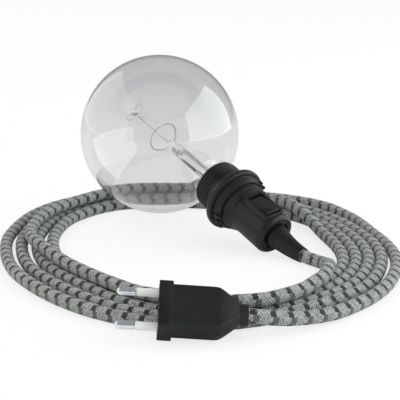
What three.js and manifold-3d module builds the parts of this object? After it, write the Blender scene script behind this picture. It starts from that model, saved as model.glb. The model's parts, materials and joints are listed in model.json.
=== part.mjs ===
// Pendant cord set: a clear globe bulb in a switched lamp holder, a coiled textile cord and a two-pin plug.
// Lengths are in millimetres and angles in degrees, with +Z up. The set lies on the plane z = 0.
// The lamp's own axis runs from the centre of the globe (station 0) to the cord outlet.
import * as THREE from 'three';
import { mergeVertices } from 'three/addons/utils/BufferGeometryUtils.js';
import Module from 'manifold-3d';

const wasm = await Module();
wasm.setup();

// Clearances
const touchGap = 0.3;
const turnGap = 0.3;

// How far a cutting body reaches past what it cuts, and a joined one into what it joins
const cutOverrun = 1;
const joinDepth = 0.1;

// Bulb
const globeDiameter = 95;
const glassWall = 1;
const neckDiameter = 15.2;
const neckFillet = 4;
const neckEndStation = 57;
const stemTubeDiameter = 7;
const stemTubeBore = 4.6;
const stemFlareThickness = 0.8;
const pressStation = 12;
const pressLength = 7;
const pressWidth = 8.4;
const pressThickness = 3.6;
const stemFlareLength = 6;
const stemFlareSwell = 1;
const stemFlareSwellLength = 2.5;
const stemBoreSwell = 1.6;
const stemBoreSwellLength = 4;
const stemBoreEnd = 2;
const rodDiameter = 1.6;
const rodEndStation = -27;
const buttonDiameter = 4.6;
const filamentDiameter = 0.9;
const filamentRingRadius = 9;
const filamentStation = 3.5;
const filamentOpening = 76;
const mountWireDiameter = 0.8;
const leadWireInset = 1.6;
const hookReach = 5.2;
const hookCurl = 1.6;
const hookRise = 4;
const hookCount = 3;
const hookFirstAngle = 60;
const bulbTurn = 40;

// Bulb cap, the 14 mm Edison size
const capThreadDiameter = 13.9;
const capFlareDiameter = 17;
const capWall = 0.4;
const capFlareStation = 54;
const capFlareLength = 3.6;
const capShoulderLength = 3;
const capThreadEndStation = 74;
const threadPitch = 2.82;
const threadDepth = 0.7;
const capInsulatorLength = 3;
const capInsulatorChamfer = 0.6;
const capInsulatorRim = 1.2;
const capContactDiameter = 4.8;
const capContactShoulder = 0.6;
const capTipStation = 79;

// Front shell and ring nut
const shellDiameter = 28;
const shellWall = 1.8;
const shellMouthStation = 57;
const shellEndStation = 81.6;
const shellChamfer = 0.8;
const shellFloor = 1.6;
const spigotDiameter = 23.6;
const spigotLength = 4.6;
const spigotWall = 1.5;
const nutFrontStation = 71.8;
const nutFlangeReach = 4.2;
const nutFlangeThickness = 3.8;
const nutLip = 1.5;
const nutGrooveReach = 1.4;
const nutGrooveLength = 2;
const nutCollarReach = 2.5;
const nutCollarTaper = 1.3;
const nutCollarChamfer = 0.5;
const nutRearStation = 81;
const nutRibGroups = 2;
const nutRibsPerGroup = 3;
const nutRibPitch = 16;
const nutRibHeading = 110;
const nutRibReach = 3.2;
const nutRibWidth = 1.6;

// Socket inside the front shell
const screwShellWall = 0.5;
const screwShellFrontStation = 61;
const baseDiscThickness = 3.6;
const baseBossLength = 5;
const contactWellDiameter = 13;
const contactWellDepth = 6.2;
const contactStripThickness = 0.5;
const contactStripWidth = 4;
const contactStripClearance = 1.2;
const contactStripLean = 0.25;
const contactFootLength = 1;
const contactTongueStart = 0.8;
const contactTongueEnd = 1.2;
const terminalWidth = 4;
const terminalDepth = 4.4;
const terminalLength = 6;
const terminalOffset = 4.6;
const terminalBore = 2.4;
const terminalBoreDepth = 2;
const terminalScrewDiameter = 2.4;
const terminalScrewHeadDiameter = 3.4;
const terminalScrewHeadHeight = 1.2;
const terminalScrewSlot = 0.5;
const terminalScrewInset = 1;

// Rear housing with the switch
const housingFrontStation = 82;
const housingFrontDiameter = 28.8;
const housingRingCount = 3;
const housingRingLength = 1.4;
const housingRingStep = 0.5;
const housingRingGroove = 0.4;
const housingWaistStation = 91;
const housingWaistDiameter = 23.8;
const housingEndStation = 112;
const housingEndDiameter = 22.6;
const housingEndRound = 3.2;
const housingWall = 1.6;
const housingEndWall = 3;
const outletRecessDiameter = 16.6;
const outletRecessDepth = 1.6;
const outletDiameter = 10.6;
const bezelStation = 98;
const bezelLength = 22.8;
const bezelWidth = 13;
const bezelHeight = 13.3;
const bezelCrown = 0.6;
const bezelCornerRadius = 3;
const rockerStation = 99.2;
const rockerPivotHeight = 10;
const rockerLength = 16.8;
const rockerWidth = 8.6;
const rockerFlatHeight = 3.6;
const rockerGripHeight = 3.1;
const rockerRidge = 4;
const rockerDepth = 1.6;
const rockerTilt = 7;
const rockerSwingClearance = 0.4;
const rockerPinDiameter = 2.2;
const rockerPinLength = 1;
const rockerRibCount = 3;
const rockerRibHeight = 0.35;
const rockerRibWidth = 0.5;
const rockerRibPitch = 1.2;
const rockerRibInset = 0.7;
const rockerRibMargin = 1;
const pocketFloorHeight = 7.4;
const pocketCutDepth = 2;
const pocketCornerRadius = 0.6;
const bridgeLength = 11;
const bridgeWidth = 6;
const fixedContactWidth = 1.8;
const fixedContactLength = 3;
const fixedContactOffset = 1.8;

// Cord outlet
const cordDiameter = 6.8;
const bootBaseDiameter = 12.8;
const bootTipDiameter = 8.2;
const bootNeckDiameter = 10;
const bootFlangeDiameter = 14;
const bootFlangeThickness = 2.4;
const bootShoulderLength = 5;
const bootShoulderStep = 1;
const bootTaperCurve = 0.85;
const bootTipStation = 134;
const bootBend = 12.5;
const bootBendStart = 118;
const gripLength = 5;
const gripWall = 0.9;
const innerCordStation = 99;
const wireDiameter = 1.8;

// How the lamp lies: its axis points to the right and to the front, and down to the boot
const lampHeading = -50.7;
const lampDecline = 21.4;
const switchRoll = 12.3;

// Plug
const plugFaceCentre = new THREE.Vector3(-12.1, -186.8, 0);
const plugYaw = 2.5;
const plugPitch = 4.7;
const plugRoll = 34.5;
const plugFlangeWidth = 26;
const plugFlangeHeight = 13;
const plugFlangeThickness = 6.4;
const plugFlangeEdge = 0.6;
const plugBodyWidth = 25;
const plugBodyHeight = 12.5;
const plugBodyLength = 20.5;
const plugBevel = 1.75;
const plugCorner = 0.7;
const plugSideShare = 0.16;
const plugTaperSweep = 78.463;
const plugTaperLength = 8.7;
const plugNeckWidth = 10.4;
const plugNeckHeight = 9.4;
const plugNeckLength = 4.8;
const pinPitch = 18.6;
const pinDiameter = 4;
const pinLength = 19;
const pinSleeveLength = 10;
const pinSleeveRoot = 2;
const pinSleeveDiameter = 3.8;
const pinCoreDiameter = 2.6;
const pinRootLength = 8;

// Cord lying on the table: hand-chosen points along the two loose stretches
const lampLeadPoints = [
  [64.6, -76.9, 3.6],
  [68.4, -81.8, 3.45],
  [71.3, -86.6, 3.45],
  [72.9, -91.6, 3.45],
];
const plugLeadPoints = [
  [50, 60.2, 3.45],
  [62, 54.5, 3.45],
  [75, 45.5, 3.45],
  [85.5, 34, 3.45],
  [93, 19, 3.45],
  [99.5, 0.6, 3.45],
  [105, -25, 3.45],
  [109.6, -48, 3.45],
  [111.2, -71, 3.45],
  [108.3, -94, 3.45],
  [101, -118, 3.45],
  [92.5, -135.5, 3.45],
  [83.1, -149, 3.5],
  [70.5, -163, 3.7],
  [58, -173, 4.8],
  [46, -180, 6.4],
  [38.5, -183.2, 7.9],
];
const exitRun = 3;
const cordSides = 12;
const lampLeadSteps = 6;
const plugLeadSteps = 24;

// Cord coil: centre lines of its innermost and outermost strand on the table, clockwise from the front,
// and where across the coil the strand on top lies (0 inner, 1 outer), with its height as a share
const coilStations = [
  { inner: [0, -159.7], outer: [0, -180.6], top: 0.35, rise: 1 },
  { inner: [-22, -142], outer: [-36, -166], top: 0.17, rise: 1 },
  { inner: [-44, -117], outer: [-65.8, -137.1], top: 0.17, rise: 1 },
  { inner: [-64, -88], outer: [-88.6, -98.6], top: 0.2, rise: 1 },
  { inner: [-74, -54], outer: [-99.4, -57.3], top: 0.45, rise: 1 },
  { inner: [-75.5, -20], outer: [-100.5, -20], top: 0.45, rise: 1 },
  { inner: [-68, 13], outer: [-90, 25], top: 0.25, rise: 1 },
  { inner: [-47, 40], outer: [-62, 57], top: 0.25, rise: 1 },
  { inner: [-17, 47.2], outer: [-17, 68.2], top: 0.5, rise: 1 },
  { inner: [22, 42.5], outer: [26, 63.2], top: 0.4, rise: 1 },
  { inner: [52, 23], outer: [64, 40.4], top: 0.2, rise: 1 },
  { inner: [71, -8], outer: [86.3, 6.3], top: 0.1, rise: 0 },
  { inner: [79.3, -37.5], outer: [99.7, -33], top: 0.1, rise: 0 },
  { inner: [82.9, -66], outer: [103.8, -62], top: 0.1, rise: 0 },
  { inner: [80.6, -91], outer: [101.3, -87.5], top: 0.1, rise: 0 },
  { inner: [71.5, -114], outer: [91.6, -119], top: 0.1, rise: 0.6 },
  { inner: [57, -132.5], outer: [75.5, -142], top: 0.35, rise: 1 },
  { inner: [31.5, -150], outer: [42, -168], top: 0.72, rise: 1 },
];
const coilSteps = 54;
const coilStackRise = 5.9;
const coilTopHalfWidth = 4.6;
const coilTopSlope = 0.45;
const coilCornerStep = 0.01;

// Segment counts
const globeSegments = 32;
const globeArcSteps = 17;
const globeInnerArcSteps = 11;
const filletArcSteps = 3;
const turnedSegments = 30;
const nutSegments = 36;
const bootSegments = 18;
const smallSegments = 14;
const fineSegments = smallSegments + 8;
const wireSides = 6;

const globeRadius = globeDiameter / 2;
const neckRadius = neckDiameter / 2;
const capThreadRadius = capThreadDiameter / 2;
const cordRadius = cordDiameter / 2;
const shellRadius = shellDiameter / 2;
const shellBore = shellDiameter - 2 * shellWall;
const spigotRadius = spigotDiameter / 2;

// Colours of the materials
const finishes = {
  clearGlass: new THREE.MeshStandardMaterial({
    color: 0xe4ebe9, roughness: 0.05, metalness: 0, transparent: true, opacity: 0.3,
  }),
  blackPlastic: new THREE.MeshStandardMaterial({ color: 0x232423, roughness: 0.42, metalness: 0 }),
  softBlack: new THREE.MeshStandardMaterial({ color: 0x1e1f1f, roughness: 0.6, metalness: 0 }),
  socketWhite: new THREE.MeshStandardMaterial({ color: 0xd8d4c8, roughness: 0.5, metalness: 0 }),
  brass: new THREE.MeshStandardMaterial({ color: 0xb89a4e, roughness: 0.35, metalness: 1 }),
  nickel: new THREE.MeshStandardMaterial({ color: 0xc4c6c6, roughness: 0.25, metalness: 1 }),
  tungsten: new THREE.MeshStandardMaterial({ color: 0x55565a, roughness: 0.5, metalness: 1 }),
  sleeveGrey: new THREE.MeshStandardMaterial({ color: 0xb4b8b8, roughness: 0.5, metalness: 0 }),
  wireBrown: new THREE.MeshStandardMaterial({ color: 0x6b4226, roughness: 0.6, metalness: 0 }),
  wireBlue: new THREE.MeshStandardMaterial({ color: 0x2f5d9a, roughness: 0.6, metalness: 0 }),
  textile: new THREE.MeshStandardMaterial({ color: 0x96988f, roughness: 0.9, metalness: 0 }),
};

function radians(degrees) {
  return THREE.MathUtils.degToRad(degrees);
}

// A closed body with its shared corners merged and its faces turned outwards
function closedBody(geometry) {
  const bare = geometry.index ? geometry.toNonIndexed() : geometry.clone();
  bare.deleteAttribute('normal');
  bare.deleteAttribute('uv');
  const merged = mergeVertices(bare, 1e-4);
  const place = merged.attributes.position;
  const kept = [];
  const a = new THREE.Vector3();
  const b = new THREE.Vector3();
  const c = new THREE.Vector3();
  let volume = 0;
  for (let i = 0; i < merged.index.count; i += 3) {
    const face = [0, 1, 2].map((k) => merged.index.getX(i + k));
    if (new Set(face).size === 3) {
      kept.push(face);
      a.fromBufferAttribute(place, face[0]);
      b.fromBufferAttribute(place, face[1]);
      c.fromBufferAttribute(place, face[2]);
      volume += a.dot(b.cross(c));
    }
  }
  const turned = volume < 0 ? kept.map(([i, j, k]) => [i, k, j]) : kept;
  merged.setIndex(turned.flat());
  return merged;
}

function toSolid(geometry) {
  const body = closedBody(geometry);
  return new wasm.Manifold(new wasm.Mesh({
    numProp: 3,
    vertProperties: new Float32Array(body.attributes.position.array),
    triVerts: new Uint32Array(body.index.array),
  }));
}

function fromSolid(solid) {
  const mesh = solid.getMesh();
  const geometry = new THREE.BufferGeometry();
  geometry.setAttribute('position', new THREE.BufferAttribute(mesh.vertProperties, 3));
  geometry.setIndex(new THREE.BufferAttribute(mesh.triVerts, 1));
  return geometry;
}

function join(first, ...others) {
  return fromSolid(others.reduce((solid, other) => solid.add(toSolid(other)), toSolid(first)));
}

function cut(first, ...others) {
  return fromSolid(others.reduce((solid, other) => solid.subtract(toSolid(other)), toSolid(first)));
}

function common(first, second) {
  return fromSolid(toSolid(first).intersect(toSolid(second)));
}

// A body of revolution about Z from [radius, station] pairs that start and end on the axis
function turned(profile, segments = turnedSegments) {
  const points = profile.map(([radius, station]) => new THREE.Vector2(radius, station));
  return closedBody(new THREE.LatheGeometry(points, segments).rotateX(Math.PI / 2).scale(1, -1, 1));
}

// A ring-shaped body of revolution: the outline closes on itself
function turnedRing(profile, segments = turnedSegments) {
  return turned([...profile, profile[0]], segments);
}

function arcPoints(centre, radius, startDegrees, endDegrees, steps) {
  return Array.from({ length: steps + 1 }, (_, i) => {
    const angle = radians(THREE.MathUtils.lerp(startDegrees, endDegrees, i / steps));
    return [centre[0] + radius * Math.cos(angle), centre[1] + radius * Math.sin(angle)];
  });
}

// A round bar along a curve
function roundBar(curve, diameter, sides, steps) {
  const section = new THREE.Shape(
    Array.from({ length: sides }, (_, i) => {
      const angle = (2 * Math.PI * i) / sides;
      return new THREE.Vector2(Math.cos(angle), Math.sin(angle)).multiplyScalar(diameter / 2);
    }),
  );
  return closedBody(new THREE.ExtrudeGeometry(section, { extrudePath: curve, steps, bevelEnabled: false }));
}

function smoothCurve(points) {
  const path = points.map((point) => (point.isVector3 ? point : new THREE.Vector3(...point)));
  return new THREE.CatmullRomCurve3(path, false, 'centripetal');
}

function cylinder(diameter, from, to, segments = smallSegments) {
  return new THREE.CylinderGeometry(diameter / 2, diameter / 2, to - from, segments)
    .rotateX(Math.PI / 2)
    .translate(0, 0, (from + to) / 2);
}

function box(width, depth, height, x, y, z) {
  return new THREE.BoxGeometry(width, depth, height).translate(x, y, z);
}

// A skin through rings of equal point counts: capped at both ends, or closed into a loop
function loft(rings, loops) {
  const count = rings[0].length;
  const corners = rings.flat();
  const faces = [];
  const spans = loops ? rings.length : rings.length - 1;
  for (let i = 0; i < spans; i += 1) {
    const here = i * count;
    const next = ((i + 1) % rings.length) * count;
    for (let j = 0; j < count; j += 1) {
      const k = (j + 1) % count;
      faces.push(here + j, next + j, next + k, here + j, next + k, here + k);
    }
  }
  if (!loops) {
    const last = (rings.length - 1) * count;
    for (let j = 1; j < count - 1; j += 1) {
      faces.push(0, j, j + 1, last, last + j + 1, last + j);
    }
  }
  const geometry = new THREE.BufferGeometry().setFromPoints(corners);
  geometry.setIndex(faces);
  return closedBody(geometry);
}

function piece(name, geometry, finish) {
  const mesh = new THREE.Mesh(geometry, finish);
  mesh.name = name;
  return mesh;
}

// Bulb

// Where the arcs of the globe's outside and inside leave the pole
const poleAngle = -83;
const innerPoleAngle = -78;

function globe() {
  const filletRadial = neckRadius + neckFillet;
  const filletReach = globeRadius + neckFillet;
  const filletStation = Math.sqrt(filletReach ** 2 - filletRadial ** 2);
  const meetAngle = THREE.MathUtils.radToDeg(Math.atan2(filletStation, filletRadial));
  const innerNeck = neckRadius - glassWall;
  const innerMeet = Math.sqrt((globeRadius - glassWall) ** 2 - (innerNeck + neckFillet) ** 2);
  const innerAngle = THREE.MathUtils.radToDeg(Math.atan2(innerMeet, innerNeck + neckFillet));
  const outer = [
    [0, -globeRadius],
    ...arcPoints([0, 0], globeRadius, poleAngle, meetAngle, globeArcSteps),
    ...arcPoints([filletRadial, filletStation], neckFillet, meetAngle + 180, 180, filletArcSteps).slice(1),
    [neckRadius, neckEndStation],
  ];
  const inner = [
    [innerNeck, neckEndStation],
    [innerNeck, filletStation],
    ...arcPoints([0, 0], globeRadius - glassWall, innerAngle, innerPoleAngle, globeInnerArcSteps),
    [0, glassWall - globeRadius],
  ];
  return piece('globe', turned([...outer, ...inner], globeSegments), finishes.clearGlass);
}

const stemFlareStation = neckEndStation + touchGap;
const stemFlareRadius = neckRadius - touchGap;

function glassStem() {
  const tube = stemTubeDiameter / 2;
  const bore = stemTubeBore / 2;
  const rod = rodDiameter / 2;
  const button = buttonDiameter / 2;
  const pressEnd = pressStation + pressLength;
  const profile = [
    [0, rodEndStation - button],
    ...arcPoints([0, rodEndStation], button, -60, 60, 4),
    [rod, rodEndStation + button],
    [rod, pressStation],
    [tube, pressEnd],
    [tube, stemFlareStation - stemFlareLength],
    [tube + stemFlareSwell, stemFlareStation - stemFlareSwellLength],
    [stemFlareRadius - stemFlareSwell, stemFlareStation],
    [stemFlareRadius, stemFlareStation],
    [stemFlareRadius, stemFlareStation + stemFlareThickness],
    [bore + stemBoreSwell, stemFlareStation + stemFlareThickness],
    [bore, stemFlareStation - stemBoreSwellLength],
    [bore, pressEnd + 1.5 * stemBoreEnd],
    [0, pressEnd + 0.5 * stemBoreEnd],
  ];
  const press = new THREE.CylinderGeometry(pressWidth / 2, tube, pressLength, smallSegments)
    .rotateX(-Math.PI / 2)
    .scale(1, pressThickness / pressWidth, 1)
    .translate(0, 0, pressStation + pressLength / 2);
  return piece('glass_stem', join(turned(profile, fineSegments - 4), press), finishes.clearGlass);
}

const filamentStart = 180 + filamentOpening / 2;
const filamentEnd = 540 - filamentOpening / 2;

function ringPoint(degrees, radius, station) {
  return new THREE.Vector3(radius * Math.cos(radians(degrees)), radius * Math.sin(radians(degrees)), station);
}

function filament() {
  const steps = 18;
  const points = Array.from({ length: steps + 1 }, (_, i) => {
    const angle = THREE.MathUtils.lerp(filamentStart, filamentEnd, i / steps);
    return ringPoint(angle, filamentRingRadius, filamentStation);
  });
  return piece('filament', roundBar(smoothCurve(points), filamentDiameter, wireSides, steps), finishes.tungsten);
}

// Each lead wire rises out of the press and ends against one end of the filament
function leadWires() {
  const side = pressWidth / 2;
  return [[1, filamentStart, 'lead_wire_a'], [-1, filamentEnd, 'lead_wire_b']].map(([sign, angle, name]) => {
    const clear = (filamentDiameter + mountWireDiameter) / 2 + touchGap;
    const top = ringPoint(angle, filamentRingRadius, filamentStation + clear);
    const foot = new THREE.Vector3(0, -sign * (side - leadWireInset), pressStation - touchGap);
    const knee = new THREE.Vector3(top.x * 0.7, -sign * side, (top.z + foot.z) / 2);
    const wire = roundBar(smoothCurve([foot, knee, top]), mountWireDiameter, wireSides, 6);
    return piece(name, wire, finishes.tungsten);
  });
}

// Small curled hooks that stand on the button at the end of the rod
function supportHooks() {
  const start = buttonDiameter / 2 + touchGap;
  return Array.from({ length: hookCount }, (_, i) => {
    const angle = hookFirstAngle + (360 * i) / hookCount;
    const points = [
      ringPoint(angle, start, rodEndStation),
      ringPoint(angle, hookReach, rodEndStation + hookRise * 0.15),
      ringPoint(angle, hookReach + hookCurl, rodEndStation + hookRise * 0.6),
      ringPoint(angle, hookReach + hookCurl * 0.4, rodEndStation + hookRise),
    ];
    const wire = roundBar(smoothCurve(points), mountWireDiameter, wireSides, 6);
    return piece(`support_hook_${i + 1}`, wire, finishes.tungsten);
  });
}

// Thread crests and roots between two stations, as [radius, station] pairs
function threadProfile(crest, root, from, to) {
  const turns = Math.max(1, Math.floor((to - from) / threadPitch));
  const step = (to - from) / turns;
  return Array.from({ length: turns }, (_, i) => [
    [root, from + i * step],
    [crest, from + (i + 0.5) * step],
  ]).flat();
}

function bulbCap() {
  const flare = capFlareDiameter / 2;
  const flareEnd = capFlareStation + capFlareLength;
  const threadStart = flareEnd + capShoulderLength;
  const root = capThreadRadius - threadDepth;
  const outer = [
    [flare, capFlareStation],
    [flare, flareEnd],
    ...threadProfile(capThreadRadius, root, threadStart, capThreadEndStation),
    [root, capThreadEndStation],
  ];
  const inner = [
    [root - capWall, capThreadEndStation],
    [root - capWall, threadStart],
    [flare - capWall, flareEnd],
    [flare - capWall, capFlareStation],
  ];
  return piece('bulb_cap', turnedRing([...outer, ...inner], fineSegments), finishes.nickel);
}

function capInsulator() {
  const start = capThreadEndStation + touchGap;
  const wide = capThreadRadius - threadDepth;
  const hole = capContactDiameter / 2 - capContactShoulder + touchGap;
  const end = start + capInsulatorLength;
  const outline = [
    [hole, start],
    [wide, start],
    [wide - capInsulatorChamfer, start + capInsulatorRim],
    [capContactDiameter / 2, end],
    [hole, end],
  ];
  return piece('cap_insulator', turnedRing(outline, fineSegments), finishes.softBlack);
}

function capContact() {
  const base = capThreadEndStation + capInsulatorLength + 2 * touchGap;
  const radius = capContactDiameter / 2;
  const shank = radius - capContactShoulder;
  const outline = [
    [0, capThreadEndStation + touchGap],
    [shank, capThreadEndStation + touchGap],
    [shank, base],
    [radius, base],
    [radius * 0.8, (base + capTipStation) / 2],
    [0, capTipStation],
  ];
  return piece('cap_contact', turned(outline, smallSegments), finishes.nickel);
}

// Lamp holder, front part

const baseDiscEnd = shellEndStation - shellFloor - touchGap;
const baseDiscStart = baseDiscEnd - baseDiscThickness;
const baseBossRadius = spigotRadius - spigotWall - touchGap;
const screwShellInner = capThreadRadius + turnGap;

function frontShell() {
  const bore = shellBore / 2;
  const spigotBore = spigotRadius - spigotWall;
  const spigotEnd = shellEndStation + spigotLength;
  const outline = [
    [bore, shellMouthStation],
    [shellRadius - shellChamfer, shellMouthStation],
    [shellRadius, shellMouthStation + shellChamfer],
    [shellRadius, shellEndStation],
    [spigotRadius, shellEndStation],
    [spigotRadius, spigotEnd],
    [spigotBore, spigotEnd],
    [spigotBore, shellEndStation - shellFloor],
    [bore, shellEndStation - shellFloor],
  ];
  return piece('front_shell', turnedRing(outline), finishes.blackPlastic);
}

// A rounded flange for the shade, a groove behind it, and a tapered collar with two groups of grip ribs
function ringNut() {
  const bore = shellRadius + turnGap;
  const flange = shellRadius + nutFlangeReach;
  const groove = shellRadius + nutGrooveReach;
  const collar = shellRadius + nutCollarReach;
  const collarRear = collar - nutCollarTaper;
  const flangeEnd = nutFrontStation + nutFlangeThickness;
  const grooveEnd = flangeEnd + nutGrooveLength;
  const outline = [
    [bore, nutFrontStation],
    [flange - nutLip, nutFrontStation],
    ...arcPoints([flange - nutLip, nutFrontStation + nutLip], nutLip, -60, 0, 3),
    ...arcPoints([flange - nutLip, flangeEnd - nutLip], nutLip, 0, 60, 2),
    [groove, flangeEnd + nutGrooveLength * 0.2],
    [groove, grooveEnd - nutGrooveLength * 0.2],
    [collar - nutCollarChamfer, grooveEnd],
    [collar, grooveEnd + nutCollarChamfer],
    [collarRear, nutRearStation - nutCollarChamfer],
    [collarRear - nutCollarChamfer / 2, nutRearStation],
    [bore, nutRearStation],
  ];
  const ribLength = nutRearStation - grooveEnd;
  const ribs = Array.from({ length: nutRibGroups * nutRibsPerGroup }, (_, i) => {
    const group = Math.floor(i / nutRibsPerGroup) * (360 / nutRibGroups);
    const place = (i % nutRibsPerGroup) - (nutRibsPerGroup - 1) / 2;
    const depth = nutRibReach - turnGap - joinDepth;
    const rib = box(depth, nutRibWidth, ribLength, bore + joinDepth + depth / 2, 0, grooveEnd + ribLength / 2);
    return rib.rotateZ(radians(nutRibHeading + group + place * nutRibPitch));
  });
  return piece('ring_nut', join(turnedRing(outline, nutSegments), ...ribs), finishes.blackPlastic);
}

function screwShell() {
  const outer = screwShellInner + screwShellWall;
  const end = baseDiscStart - touchGap;
  const outline = [
    [screwShellInner, screwShellFrontStation],
    [outer, screwShellFrontStation],
    [outer, end],
    [screwShellInner, end],
  ];
  return piece('screw_shell', turnedRing(outline, fineSegments), finishes.brass);
}

function contactBase() {
  const disc = shellBore / 2 - touchGap;
  const body = turned([
    [0, baseDiscStart],
    [disc, baseDiscStart],
    [disc, baseDiscEnd],
    [baseBossRadius, baseDiscEnd],
    [baseBossRadius, baseDiscEnd + baseBossLength],
    [0, baseDiscEnd + baseBossLength],
  ]);
  const wellEnd = baseDiscStart + contactWellDepth;
  const well = cylinder(contactWellDiameter, baseDiscStart - cutOverrun, wellEnd, fineSegments);
  return piece('contact_base', cut(body, well), finishes.socketWhite);
}

// A bent strip whose tongue presses on the bulb's contact
function centreContact() {
  const floor = baseDiscStart + contactWellDepth - touchGap;
  const reach = contactWellDiameter / 2 - contactStripClearance;
  const crest = capTipStation + touchGap;
  const outline = new THREE.Shape();
  outline.moveTo(-reach, floor - contactStripThickness);
  outline.lineTo(-reach + contactFootLength, floor - contactStripThickness);
  outline.lineTo(-contactTongueStart, crest);
  outline.lineTo(contactTongueEnd, crest);
  outline.lineTo(contactTongueEnd, crest + contactStripThickness);
  outline.lineTo(-contactTongueStart + contactStripLean, crest + contactStripThickness);
  outline.lineTo(-reach + contactFootLength + contactStripLean, floor);
  outline.lineTo(-reach, floor);
  outline.closePath();
  const strip = new THREE.ExtrudeGeometry(outline, { depth: contactStripWidth, bevelEnabled: false })
    .rotateX(Math.PI / 2)
    .translate(0, contactStripWidth / 2, 0);
  return piece('centre_contact', closedBody(strip), finishes.brass);
}

const terminalStart = baseDiscEnd + baseBossLength + touchGap;

// Two brass terminals behind the base, each with a screw from above and a hole for its wire
function terminals() {
  return [[1, 'live'], [-1, 'neutral']].flatMap(([sign, name]) => {
    const y = sign * terminalOffset;
    const middle = terminalStart + terminalLength / 2;
    const screwHole = cylinder(terminalScrewDiameter + 2 * touchGap, -terminalDepth, terminalDepth)
      .rotateY(Math.PI / 2)
      .translate(0, y, middle - terminalScrewInset);
    const blockEnd = terminalStart + terminalLength;
    const wireHole = cylinder(terminalBore, blockEnd - terminalBoreDepth, blockEnd + cutOverrun)
      .translate(0, y, 0);
    const block = cut(
      box(terminalDepth, terminalWidth, terminalLength, 0, y, middle),
      screwHole,
      wireHole,
    );
    const headStart = terminalDepth / 2 + touchGap;
    const screw = cut(
      join(
        cylinder(terminalScrewDiameter, -terminalDepth / 2, headStart + joinDepth),
        cylinder(terminalScrewHeadDiameter, headStart, headStart + terminalScrewHeadHeight),
      ),
      box(
        terminalScrewHeadDiameter * 2, terminalScrewSlot, terminalScrewHeadHeight,
        0, 0, headStart + terminalScrewHeadHeight,
      ),
    );
    return [
      piece(`${name}_terminal`, block, finishes.brass),
      piece(
        `${name}_terminal_screw`,
        screw.rotateY(Math.PI / 2).translate(0, y, middle - terminalScrewInset),
        finishes.nickel,
      ),
    ];
  });
}

// Rear housing and switch

const pocketLength = rockerLength + 2 * touchGap + rockerSwingClearance;
const pocketWidth = rockerWidth + 2 * turnGap;

function slotShape(length, width, corner) {
  const x = width / 2;
  const z = length / 2;
  const shape = new THREE.Shape();
  shape.moveTo(-x + corner, -z);
  shape.lineTo(x - corner, -z);
  shape.quadraticCurveTo(x, -z, x, -z + corner);
  shape.lineTo(x, z - corner);
  shape.quadraticCurveTo(x, z, x - corner, z);
  shape.lineTo(-x + corner, z);
  shape.quadraticCurveTo(-x, z, -x, z - corner);
  shape.lineTo(-x, -z + corner);
  shape.quadraticCurveTo(-x, -z, -x + corner, -z);
  return shape;
}

// A block with a rounded outline about a station, raised along X between two heights
function raisedSlot(station, length, width, corner, low, high) {
  const toSwitchSide = new THREE.Matrix4().makeBasis(
    new THREE.Vector3(0, 1, 0),
    new THREE.Vector3(0, 0, 1),
    new THREE.Vector3(1, 0, 0),
  );
  return new THREE.ExtrudeGeometry(slotShape(length, width, corner), {
    depth: high - low, bevelEnabled: false, curveSegments: 4,
  }).applyMatrix4(toSwitchSide).translate(low, 0, station);
}

function housingRadius(station) {
  return THREE.MathUtils.mapLinear(
    station, housingWaistStation, housingEndStation, housingWaistDiameter / 2, housingEndDiameter / 2,
  );
}

function rearHousing() {
  const front = housingFrontDiameter / 2;
  const waist = housingWaistDiameter / 2;
  const end = housingEndDiameter / 2;
  const recess = outletRecessDiameter / 2;
  const spigotBore = spigotRadius + touchGap;
  const spigotEnd = shellEndStation + spigotLength + touchGap;
  const innerEnd = housingEndStation - housingEndWall;
  const shoulderRings = Array.from({ length: housingRingCount }, (_, i) => {
    const radius = front - i * housingRingStep;
    const start = housingFrontStation + i * housingRingLength;
    return [
      [radius - housingRingGroove, start],
      [radius, start + housingRingGroove / 2],
      [radius, start + housingRingLength - housingRingGroove / 2],
    ];
  }).flat();
  const outline = [
    [spigotBore, housingFrontStation],
    ...shoulderRings,
    [waist, housingWaistStation],
    ...arcPoints([end - housingEndRound, housingEndStation - housingEndRound], housingEndRound, 0, 90, 5),
    [recess, housingEndStation],
    [recess, housingEndStation - outletRecessDepth],
    [outletDiameter / 2, housingEndStation - outletRecessDepth],
    [outletDiameter / 2, innerEnd],
    [housingRadius(innerEnd) - housingWall, innerEnd],
    [waist - housingWall, housingWaistStation],
    [waist - housingWall, spigotEnd],
    [spigotBore, spigotEnd],
  ];
  const shell = turnedRing(outline, turnedSegments + 2);
  const bezel = raisedSlot(
    bezelStation, bezelLength, bezelWidth, bezelCornerRadius,
    pocketFloorHeight, bezelHeight - bezelCrown,
  );
  const crown = raisedSlot(
    bezelStation, bezelLength - 2 * bezelCrown, bezelWidth - 2 * bezelCrown, bezelCornerRadius,
    pocketFloorHeight, bezelHeight,
  );
  const pocket = raisedSlot(
    rockerStation, pocketLength, pocketWidth, pocketCornerRadius,
    pocketFloorHeight - pocketCutDepth, bezelHeight + cutOverrun,
  );
  const pinHole = cylinder(
    rockerPinDiameter + 2 * turnGap,
    -(rockerWidth / 2 + rockerPinLength + 2 * turnGap),
    rockerWidth / 2 + rockerPinLength + 2 * turnGap,
  ).rotateX(Math.PI / 2).translate(rockerPivotHeight, 0, rockerStation);
  const housing = cut(join(shell, bezel, crown), pocket, pinHole);
  return piece('rear_housing', housing, finishes.blackPlastic);
}

// The rocker's outline seen from the side, about its pivot: a long flat, a ridge and a short ribbed grip
function rockerOutline() {
  const half = rockerLength / 2;
  const low = -rockerDepth;
  const shape = new THREE.Shape();
  const flatAngle = Math.asin(rockerFlatHeight / half);
  const gripAngle = Math.asin(rockerGripHeight / half);
  const lowAngle = Math.asin(low / half);
  shape.absarc(0, 0, half, lowAngle, gripAngle, false);
  shape.lineTo(rockerRidge, rockerFlatHeight);
  shape.absarc(0, 0, half, Math.PI - flatAngle, Math.PI - lowAngle, false);
  shape.closePath();
  return shape;
}

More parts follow.
